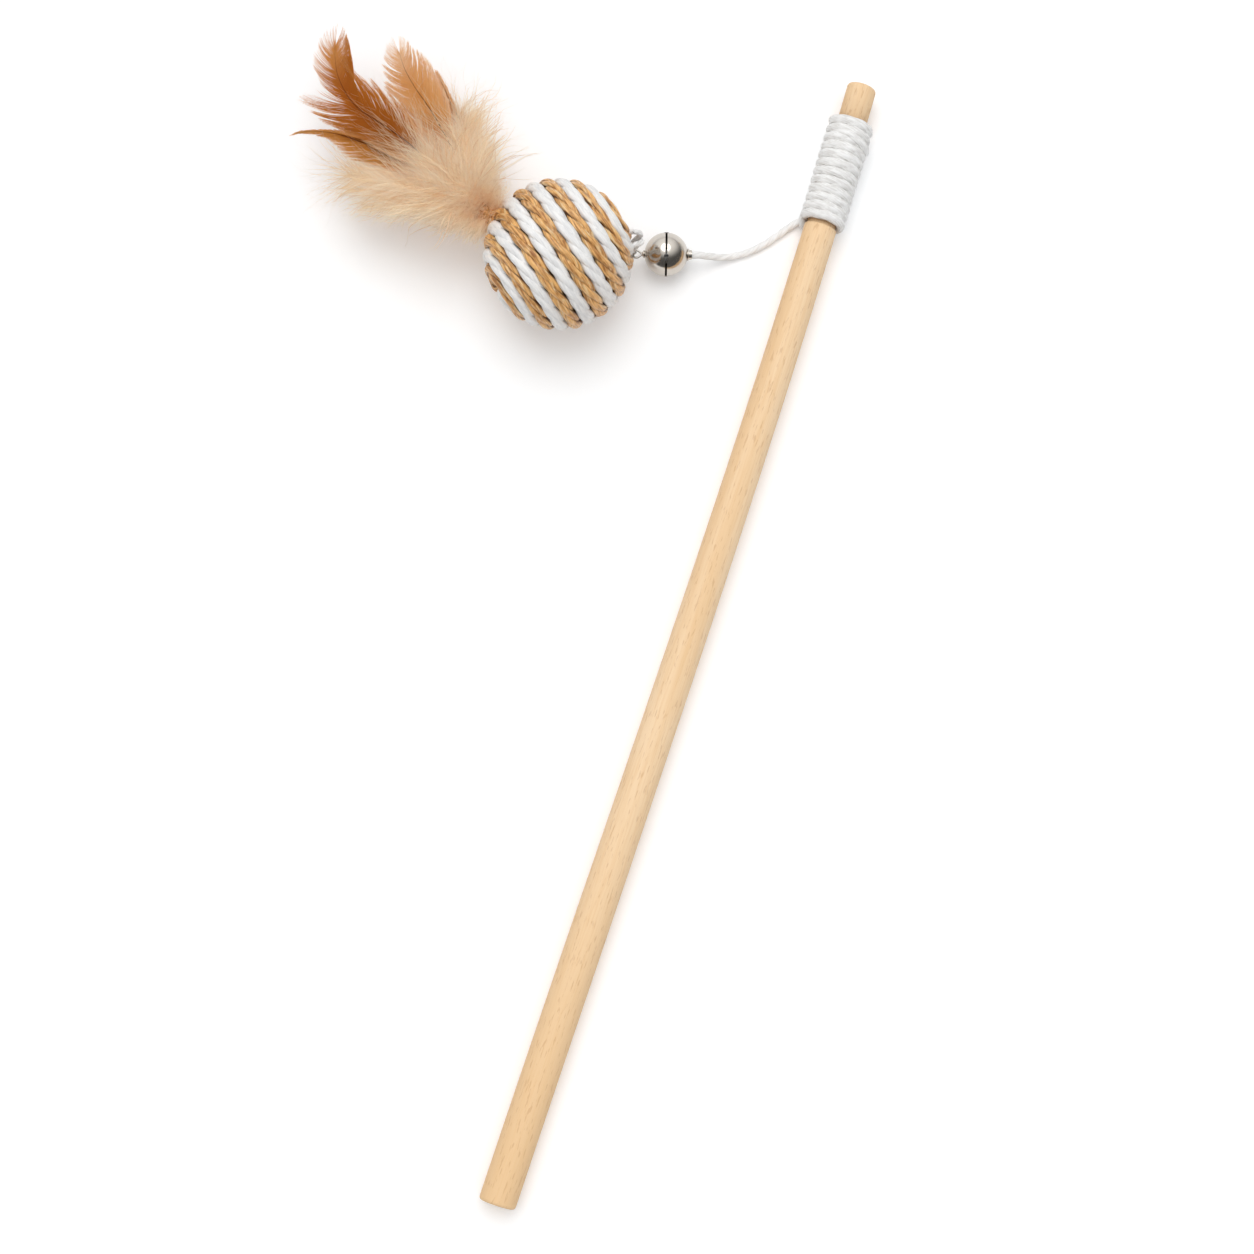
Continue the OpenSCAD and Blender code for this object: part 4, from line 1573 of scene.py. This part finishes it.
@dataclass
class Ball:
    """Core ball with a natural and a white paper cord wound side by side.

    The hanger loop's leg is given in millimetres from the ball's centre: towards the ring, aside,
    and up.
    """

    layout: Layout
    axis_heading: float = 51.0
    axis_climb: float = 4.0
    step_angle: float = 23.2
    end_angle: float = 77.0
    top_angle: float = 1.2
    hidden_share: float = 0.16
    outer_r: float = 25.1 * MM
    foot_r: float = 2.8 * MM
    dive_l: float = 5 * MM
    dive_ahead: float = 3.2 * MM
    dive_share: float = 0.8
    dive_over: float = 0.4 * MM
    turn_points: int = 1800
    natural: CordMake = CordMake(
        Twist.LEFT, 1.32 * MM, 1.2 * MM, 0.72 * MM, 25 * MM, flatness=0.88
    )
    white: CordMake = CordMake(Twist.LEFT, 1.6 * MM, 1.0 * MM, 0.56 * MM, 24 * MM, flatness=0.95)
    loop: CordMake = CordMake(Twist.LEFT, 0.64 * MM, 0.36 * MM, 0.36 * MM, 7 * MM, 10)
    leg: tuple[Point, ...] = (
        (20.5, 2.2, 1.4), (24.6, 2.3, 1.5), (27.0, 1.95, 1.1), (27.9, 1.1, -0.6),
        (26.4, 1.03, -4.2), (24.7, 1.02, -8.8), (22.9, 1.0, -12.8),
    )

    def build(self) -> None:
        """Dress the core, wind both cords and hang the loop."""
        dress("ball_core", CORE_BOARD)
        self.wind(Winding(
            "natural_cord_turns", self.natural, NATURAL_PAPER, self.top_angle - self.step_angle / 2,
            34, "natural_cord", "natural_winding",
        ))
        self.wind(Winding(
            "white_cord_turns", self.white, WHITE_PAPER, self.top_angle, 29, "white_paper_cord",
            "white_winding",
        ))
        self.hanger()

    def frame_axes(self) -> Array:
        """Return the winding frame's three axes as rows, its third along the winding's axis."""
        climb = math.radians(self.axis_climb)
        level = heading(self.axis_heading)
        axis = math.cos(climb) * level + math.sin(climb) * UP
        first = math.sin(climb) * level - math.cos(climb) * UP
        return np.array([first, np.cross(axis, first), axis])

    def wind(self, cord: Winding) -> None:
        """Wind one cord from pole to pole, its ends diving into the core."""
        radius = self.outer_r - cord.make.radius
        low, high = (
            (side * self.end_angle - cord.first) * 360 / self.step_angle for side in (-1, 1)
        )
        turn = np.radians(np.linspace(low, high, self.turn_points))
        share = turn / math.tau + self.hidden_share * np.sin(turn)
        rise = np.radians(cord.first + share * self.step_angle)
        body = radius * np.stack(
            [np.cos(rise) * np.cos(turn), np.cos(rise) * np.sin(turn), np.sin(rise)], axis=1
        )
        start, end = self.dive(body[0], body[1], -1), self.dive(body[-1], body[-2], 1)
        path = np.vstack([start[::-1], body, end])
        path = evenly(path, int(path_length(path) / cord.make.lay_l * cord.points_a_lay))
        out = path @ self.frame_axes()
        rail = Rail(out + self.layout.ball_centre, unit(out))
        piece = lay_cord(cord.name, rail, cord.make, cord.finish)
        settle(piece, self.layout.table_z)
        hand_over(piece, "ball", cord.slot, cord.node)

    def dive(self, end: Array, before: Array, side: int) -> Array:
        """Draw the bend by which an end of a cord dives into its well.

        Args:
            end: last point on the ball.
            before: point before it.
            side: 1 at the upper pole, -1 at the lower.

        Returns:
            The points of the bend, from the ball down.
        """
        ahead = unit(end - before) * self.dive_ahead
        inner = end + ahead
        inner[:2] *= self.foot_r / np.linalg.norm(inner[:2])
        over, foot = (inner + side * rise * UP for rise in (self.dive_over, -self.dive_l))
        return bezier([end, end + ahead * self.dive_share, over, foot], 14)[1:]

    def hanger(self) -> None:
        """Bend the white hanger loop out of the ball's side, down to the ring and back up."""
        lay = self.layout
        away = unit(-lay.ball_line * (1 - UP))
        side = np.cross(UP, away)
        there, back = (
            [lay.ball_centre + (r * away + w * hand * side + z * UP) * MM for r, w, z in self.leg]
            for hand in (1, -1)
        )
        bend = lay.link_point + (lay.hanger_bend_at + lay.hanger_d / 2) * lay.ball_line
        points = evenly(flowing(np.array([*there, bend, *back[::-1]]), 8), 110)
        rail = Rail(points, unit(points - lay.ball_centre))
        loop = lay_cord("hanger_strands", rail, self.loop, WRAP_CORD)
        hand_over(loop, "ball", "white_cord", "hanger_loop")


@dataclass(frozen=True)
class Growth:
    """How the barbs of a shaft grow.

    Widths and ruffles are in metres, clumps are counted over the shaft, angles are in radians, and
    the rest are shares of a barb's length.
    """

    barb_width: float
    bend: float
    spread: float
    ruffle: float
    ruffle_scale: float
    clumps: float
    clump_angle: float
    gather: float
    uneven: float
    stray: float
    jitter: float
    camber: float = 0.0
    segments: int = 8

    def inputs(self, length: float) -> dict[str, Any]:
        """Return the barb tree's inputs for a shaft of this length."""
        inputs = {key.replace("_", " ").title(): value for key, value in asdict(self).items()}
        return inputs | {"Gather": length / self.clumps * self.gather}


@dataclass(frozen=True)
class DownGrowth(Growth):
    """How down grows: its reach in millimetres and its sweep in degrees change evenly."""

    reach: tuple[float, float] = (18, 13)
    sweep: tuple[float, float] = (62, 26)


VANE = Growth(
    barb_width=0.3 * MM, bend=0.8, spread=0.05, ruffle=0.5 * MM, ruffle_scale=120.0, clumps=26.0,
    clump_angle=0.05, gather=0.3, uneven=0.12, stray=0.0, jitter=0.03, camber=-0.06,
)
BASE_DOWN = DownGrowth(
    barb_width=0.12 * MM, bend=0.4, spread=1.2, ruffle=3.4 * MM, ruffle_scale=140.0, clumps=80.0,
    clump_angle=0.25, gather=0.8, uneven=0.55, stray=0.6, jitter=0.4, camber=0.1, reach=(15, 11),
    sweep=(60, 34),
)
PLUME_DOWN = DownGrowth(
    barb_width=0.12 * MM, bend=0.35, spread=1.4, ruffle=4.4 * MM, ruffle_scale=110.0, clumps=90.0,
    clump_angle=0.25, gather=0.7, uneven=0.6, stray=0.8, jitter=0.5,
)
WISPS = DownGrowth(
    barb_width=0.36 * MM, bend=0.3, spread=1.0, ruffle=9.0 * MM, ruffle_scale=55.0, clumps=16.0,
    clump_angle=0.5, gather=0.2, uneven=0.6, stray=0.7, jitter=0.7, segments=12, reach=(29, 23),
    sweep=(58, 22),
)
COLLAR = DownGrowth(
    barb_width=0.14 * MM, bend=0.3, spread=1.7, ruffle=4.4 * MM, ruffle_scale=120.0, clumps=60.0,
    clump_angle=0.4, gather=0.6, uneven=0.65, stray=0.4, jitter=0.6, reach=(16, 16),
    sweep=(106, 74),
)


@dataclass(frozen=True)
class Feather:
    """One feather.

    Its route in plan, from the quills' root, and the reach of its barbs on each side are in
    millimetres, and their sweep is in degrees. The share is its place across the plug, the layer
    its height over the plug in layers.
    """

    node: str
    share: float
    layer: float
    route: tuple[tuple[float, float], ...]
    left: tuple[float, ...]
    right: tuple[float, ...]
    sweep: tuple[float, ...]
    finish: Finish
    seed: int


@dataclass(frozen=True)
class Plume:
    """One plume of down: its place across the plug, its headings and its length in millimetres."""

    node: str
    share: float
    way: float
    bend_way: float
    length: float
    seed: int
    barbs: int
    collar: int = 0


@dataclass
class Tuft:
    """Glue plug, feathers and down on the ball.

    Each shaft of a plume's fan has a turn in degrees, a share of the plume's length and a rise in
    millimetres. Shares whose names end in _from or _to are places along a feather. The plug's
    sizes are in millimetres. Each row of its lumps has a depth as a share of the plug's radius, a
    count round the plug, the radians by which it winds on in a millimetre, and those it starts at.
    """

    layout: Layout
    layer_h: float = 1.7 * MM
    droop: float = 9 * MM
    root_spacing: float = 6.8 * MM
    row_share: float = 0.16
    rise_to: float = 0.24
    bend_share: float = 0.3
    quill_d: float = 0.7 * MM
    quill_sides: int = 6
    quill_end: float = 0.04
    vane_barbs: int = 1100
    vane_from: float = 0.14
    full_from: float = 0.18
    open_to: float = 0.26
    vane_to: float = 0.93
    shut_l: float = 0.05
    shut_share: float = 0.93
    base_barbs: int = 2200
    base_l: float = 25 * MM
    down_quill_d: float = 0.3 * MM
    plume_bend: float = 0.6
    plume_drop: float = 3 * MM
    fan_way: float = 0.8
    fan_bend_way: float = 0.5
    wisps: int = 290
    wisp_share: float = 0.86
    wisp_rise: float = 8 * MM
    wisp_from: int = 8
    collar_run: tuple[float, float] = (-4.4, 7)
    plug_run: tuple[float, float] = (-1.5, 5.2)
    plug_r: float = 3.9
    plug_taper: float = 0.13
    plug_tip_r: float = 1.4
    plug_tip_l: float = 0.6
    plug_edge_l: float = 0.5
    plug_rings: int = 16
    plug_sides: int = 40
    plug_lumps: tuple[tuple[float, int, float, float], ...] = (
        (0.1, 3, 1.3, 0), (0.07, 5, -2.1, 1), (0.05, 9, 3.7, 0),
    )
    feathers: tuple[Feather, ...] = (
        Feather(
            "feather_1", -0.107, 4,
            ((-0.2, -0.7), (-4.5, 0.3), (-10.6, 4.2), (-21.6, 9.3), (-29.3, 12.9), (-38.6, 16.1),
             (-47.8, 19), (-52.8, 22), (-56.3, 25.2), (-59.3, 28.8), (-60.9, 31.5), (-63.3, 37.2),
             (-64, 42.1), (-64.1, 45.1)),
            (12, 14, 17, 20, 22, 25, 26, 26, 25.7, 25, 24.4, 23.8, 23.2, 23, 23.4, 24, 9.6,
             12.6, 14.2, 14.4, 13.6, 12.6, 12, 11, 10, 9),
            (10, 12, 14, 16, 18, 20, 22, 24, 25, 25.2, 25.3, 25.1, 25.5, 25.8, 26.2, 26.5, 26.9,
             26.2, 24, 21, 16, 11, 10.6, 10.2, 9.6, 9),
            (46, 44, 42, 42, 44, 46, 48), CARAMEL, 11,
        ),
        Feather(
            "feather_2", 0.107, 3,
            ((0.2, 0.7), (-4.2, 1.7), (-9.2, 11.3), (-15.7, 17), (-19.7, 20.9), (-24.6, 25.5),
             (-28.4, 28.7), (-33.7, 33), (-39.3, 38.5), (-43.2, 44.1), (-45.3, 47.7)),
            (10, 12, 15, 18, 21, 22.5, 21.3, 17.9, 15.3, 13.8, 11.9, 9.6, 8.2),
            (8, 10, 12, 14, 17, 20, 21.4, 21.2, 18.6, 15.4, 12, 9.8, 8.4),
            (46, 44, 42, 42, 44, 46, 48), FAWN, 23,
        ),
        Feather(
            "feather_3", -0.32, 3.2,
            ((-0.5, -2.1), (-4.8, -1.1), (-11.8, 2.6), (-21, 6.2), (-29.3, 8), (-36.6, 8.6),
             (-43.8, 9), (-49.9, 9.5), (-54.8, 9.5), (-59.9, 8.8), (-65.4, 7.2), (-68.8, 4.8),
             (-71.1, 2.6)),
            (16, 18, 20, 20, 18, 15.8, 13, 10.7, 8.6, 6.4, 4.4, 3.4, 2.4),
            (6.5, 6.5, 6.7, 8, 8.6, 8.8, 8.4, 7, 5, 3.4, 2.2, 1.9, 1.6),
            (44, 42, 40, 36, 30, 24, 18), GOLDEN, 37,
        ),
        Feather(
            "feather_4", 0.32, 2,
            ((0.5, 2.1), (-3.9, 3.1), (-4.6, 10.8), (-9.9, 19.2), (-14.3, 25.2), (-19.6, 30.7),
             (-23, 34.5), (-27.3, 39.4), (-30.2, 42.7), (-31.8, 44.4)),
            (8, 9, 10, 12, 13, 13, 11, 9.4, 7.6, 5.6, 4, 3, 2.2),
            (4, 4, 4, 3.8, 3.2, 3, 3, 3, 3.2, 3.8, 3.4, 2.8, 2.2),
            (44, 42, 40, 38, 34, 30, 26), FAWN, 41,
        ),
    )
    plumes: tuple[Plume, ...] = (
        Plume("plume_1", -0.32, 181, 177, 51, 3, 1400),
        Plume("plume_2", 0.0, 155, 158, 46, 5, 1000, 4000),
        Plume("plume_3", 0.32, 122, 128, 36, 7, 1400),
    )
    fan: tuple[Point, ...] = (
        (-19.0, 0.50, 3.0), (-12.0, 0.78, 7.0), (-5.0, 0.86, 1.0), (1.0, 0.62, 11.0),
        (7.0, 0.84, 4.5), (13.0, 0.74, -1.0), (19.0, 0.52, 9.0),
    )

    def build(self) -> None:
        """Make the plug, the feathers and the plumes."""
        self.plug()
        for feather in self.feathers:
            self.feather(feather)
        for plume in self.plumes:
            self.plume(plume)

    def root(self, share: float, row: float) -> Array:
        """Return where a quill leaves the plug.

        Args:
            share: its place across the plug.
            row: 1 for the upper row, -1 for the lower.

        Returns:
            The point.
        """
        across = self.root_spacing * share * heading(self.layout.tuft_heading - 90)
        return self.layout.tuft_root + across + row * self.row_share * self.root_spacing * UP

    def lift(self, t: Array, rise: float, drop: float) -> Array:
        """Return the height of a shaft's points over its root.

        Args:
            t: their shares of its length.
            rise: height that it gains over the bare quill.
            drop: height that it loses to the tip.

        Returns:
            The heights.
        """
        return rise * np.sin(math.pi / 2 * np.minimum(1, t / self.rise_to)) - drop * t * t

    def shaft(self, made: Plume, length: float, turn: float, rise: float) -> Array:
        """Draw a shaft of a plume: straight out of the plug, then bent to its tip.

        Args:
            made: the plume.
            length: share of the plume's length.
            turn: degrees by which it stands off the plume's middle.
            rise: height that it gains over the bare quill.

        Returns:
            The points of the centreline.
        """
        root, length = self.root(made.share, -1), made.length * length * MM
        bent = heading(made.bend_way + turn * self.fan_bend_way)
        corners = [
            root,
            root + self.bend_share * length * unit(heading(self.layout.tuft_heading) + bent),
            root + self.plume_bend * length * bent,
            root + length * heading(made.way + turn * self.fan_way),
        ]
        points = bezier(corners, 60)
        points[:, 2] += self.lift(np.linspace(0, 1, len(points)), rise, self.plume_drop)
        return points

    def barbs(
        self,
        name: str,
        line: Array,
        traits: Mapping[str, Array],
        growth: Growth,
        finish: Finish,
        count: int,
        seed: int,
    ) -> bpy.types.Object:
        """Grow barbs along a shaft.

        Args:
            name: name of the piece.
            line: centreline of the shaft.
            traits: the barbs' reach on each side and their sweep, at each of its points.
            growth: how they grow.
            finish: finish of the barbs.
            count: number of barbs, both sides together.
            seed: seed of their unevenness.

        Returns:
            The barbs' object.
        """
        values = {"Barbs": count, "Seed": seed, "Material": finish.material()}
        values |= growth.inputs(path_length(line))
        rail = Rail(line, upwards(line), dict(traits))
        return grow(name, rail.as_object(name + "_rail"), barb_tree(), values)

    def down(
        self, name: str, line: Array, growth: DownGrowth, finish: Finish, count: int, seed: int
    ) -> bpy.types.Object:
        """Grow down along a shaft.

        Args:
            name: name of the piece.
            line: centreline of the shaft.
            growth: how the down grows.
            finish: its finish.
            count: number of barbs, both sides together.
            seed: seed of their unevenness.

        Returns:
            The down's object.
        """
        reach = np.linspace(*growth.reach, len(line)) * MM
        sweep = np.radians(np.linspace(*growth.sweep, len(line)))
        traits = {"reach_left": reach, "reach_right": reach, "sweep": sweep}
        return self.barbs(name, line, traits, growth, finish, count, seed)

    def quill(self, name: str, line: Array, width: float, finish: Finish) -> bpy.types.Object:
        """Make a tapered shaft.

        Args:
            name: name of the piece.
            line: its centreline.
            width: its thickness at the root.
            finish: its finish.

        Returns:
            The shaft's object.
        """
        sides, count = self.quill_sides, len(line)
        way = along(line)
        side = unit(np.cross(UP, way))
        up = np.cross(way, side)
        rank = np.linspace(0, 1, count)
        radii = width / 2 * (1 + self.quill_end - rank)
        turns = np.arange(sides) * math.tau / sides
        points = [
            line[i] + radii[i] * (math.cos(a) * side[i] + math.sin(a) * up[i])
            for i in range(count)
            for a in turns
        ]
        faces: list[tuple[int, ...]] = [tuple(range(sides - 1, -1, -1))]
        for a in range(0, (count - 1) * sides, sides):
            for k in range(sides):
                n, b = (k + 1) % sides, a + sides
                faces.append((a + k, a + n, b + n, b + k))
        faces.append(tuple((count - 1) * sides + k for k in range(sides)))
        shaft = meshed(name, points, faces, finish)
        ranks = np.repeat(rank, sides)
        set_attributes(shaft.data, {"rank": ranks, "run": 0 * ranks, "luck": 0 * ranks + 0.5})
        return shaft

    def quill_line(self, made: Feather) -> Array:
        """Draw the centreline of a feather's quill through its route.

        Args:
            made: the feather.

        Returns:
            The points of the centreline.
        """
        plan = evenly(flowing(np.array(made.route) * MM, 8), 160)
        rise = self.lift(np.linspace(0, 1, len(plan)), made.layer * self.layer_h, self.droop)
        height = self.root(made.share, 1)[2] + rise
        return np.column_stack([self.layout.tuft_root[:2] + plan, height])

    def vane(self, made: Feather, line: Array) -> bpy.types.Object:
        """Grow a feather's vane, which closes to a point at the tip.

        Args:
            made: the feather.
            line: centreline of its quill.

        Returns:
            The vane's object.
        """
        t = np.linspace(0, 1, len(line))

        def spaced(values: Sequence[float]) -> Array:
            """Spread values evenly from the full width's start to the tip."""
            return np.interp(t, np.linspace(self.full_from, self.vane_to, len(values)), values)

        opening = smooth(self.vane_from, self.open_to, t)
        shut = np.clip((t - self.vane_to + self.shut_l) / self.shut_l, 0, 1) ** 1.5
        traits = {
            "reach_left": spaced(made.left) * opening * MM,
            "reach_right": spaced(made.right) * opening * MM,
            "sweep": np.radians(spaced(made.sweep)) * (1 - self.shut_share * shut),
        }
        keep = (t >= self.vane_from) & (t <= self.vane_to)
        kept = {name: values[keep] for name, values in traits.items()}
        return self.barbs(
            made.node + "_vane", line[keep], kept, VANE, made.finish, self.vane_barbs, made.seed
        )

    def feather(self, made: Feather) -> None:
        """Make one brown feather with downy barbs over its base."""
        line = self.quill_line(made)
        t = np.linspace(0, 1, len(line))
        low = line[t * path_length(line) <= self.base_l]
        self.hand_over_joined("barbs", "brown_feather", made.node, [
            self.quill(made.node + "_quill", line[t <= self.vane_to][::3], self.quill_d, QUILL),
            self.vane(made, line),
            self.down(
                made.node + "_base", low, BASE_DOWN, CREAM_DOWN, self.base_barbs, made.seed + 1
            ),
        ])

    def plume(self, made: Plume) -> None:
        """Make one plume of down from a fan of short shafts."""
        pieces = []
        for number, (turn, share, rise) in enumerate(self.fan):
            line = self.shaft(made, share, turn, rise * MM)
            seed = made.seed * 10 + number
            pieces += [
                self.quill(f"{made.node}_quill_{number}", line, self.down_quill_d, CREAM_DOWN),
                self.down(
                    f"{made.node}_down_{number}", line, PLUME_DOWN, CREAM_DOWN, made.barbs, seed
                ),
            ]
        line = self.shaft(made, self.wisp_share, 0, self.wisp_rise)[self.wisp_from:]
        pieces.append(
            self.down(made.node + "_wisps", line, WISPS, LOOSE_DOWN, self.wisps, made.seed + 50)
        )
        if made.collar:
            run = np.linspace(*self.collar_run, 40) * MM
            line = self.layout.tuft_root + np.outer(run, heading(self.layout.tuft_heading))
            pieces.append(
                self.down(made.node + "_collar", line, COLLAR, CREAM_DOWN, made.collar, made.seed)
            )
        self.hand_over_joined("down", "cream_down", made.node, pieces)

    def hand_over_joined(
        self, kind: str, slot: str, node: str, pieces: Sequence[bpy.types.Object]
    ) -> None:
        """Join the pieces that stand for a CAD node, press them off the table and hand them over.

        Args:
            kind: what they are, for the name of the joined piece.
            slot: material slot of the part; not used.
            node: the CAD node.
            pieces: the pieces.
        """
        piece = joined(f"{node}_{kind}", pieces)
        settle(piece, self.layout.table_z)
        hand_over(piece, "ball", slot, node)

    def plug(self) -> None:
        """Make the rough lump of set glue round the quills."""
        low, high = self.plug_run
        heights = np.linspace(low, high, self.plug_rings)
        radii = self.plug_r - self.plug_taper * (heights - low)
        outline = [
            (0.0, low), *zip(radii, heights), (self.plug_tip_r, high + self.plug_edge_l),
            (0.0, high + self.plug_tip_l),
        ]
        profile = [(r * MM, h * MM) for r, h in outline]

        def place(points: Array) -> Array:
            """Roughen the lump and set it on the ball."""
            x, y, z = points.T
            a, h = np.arctan2(y, x), z / MM
            lumps = 1.0
            for depth, waves, wind, start in self.plug_lumps:
                lumps = lumps + depth * np.sin(waves * a + wind * h + start)
            axis, side = (heading(self.layout.tuft_heading - turn) for turn in (0, 90))
            base = self.layout.tuft_root - self.layout.plug_l * axis
            return base + np.outer(x * lumps, side) + np.outer(y * lumps, UP) + np.outer(z, axis)

        lump = turned("glue_lump", profile, self.plug_sides, SET_GLUE, place)
        hand_over(lump, "ball", "quill_glue", "quill_plug")


def main() -> None:
    """Build the toy's sub-assemblies in order."""
    logging.basicConfig(level=logging.INFO, format="%(name)s: %(message)s")
    layout = Layout()
    Studio(layout).build()
    LeadCord(layout).build()
    for part in (Stick(layout), Bell(layout), Ball(layout), Tuft(layout)):
        part.build()
        LOG.info("%s is built", type(part).__name__)


if __name__ == "__main__":
    main()
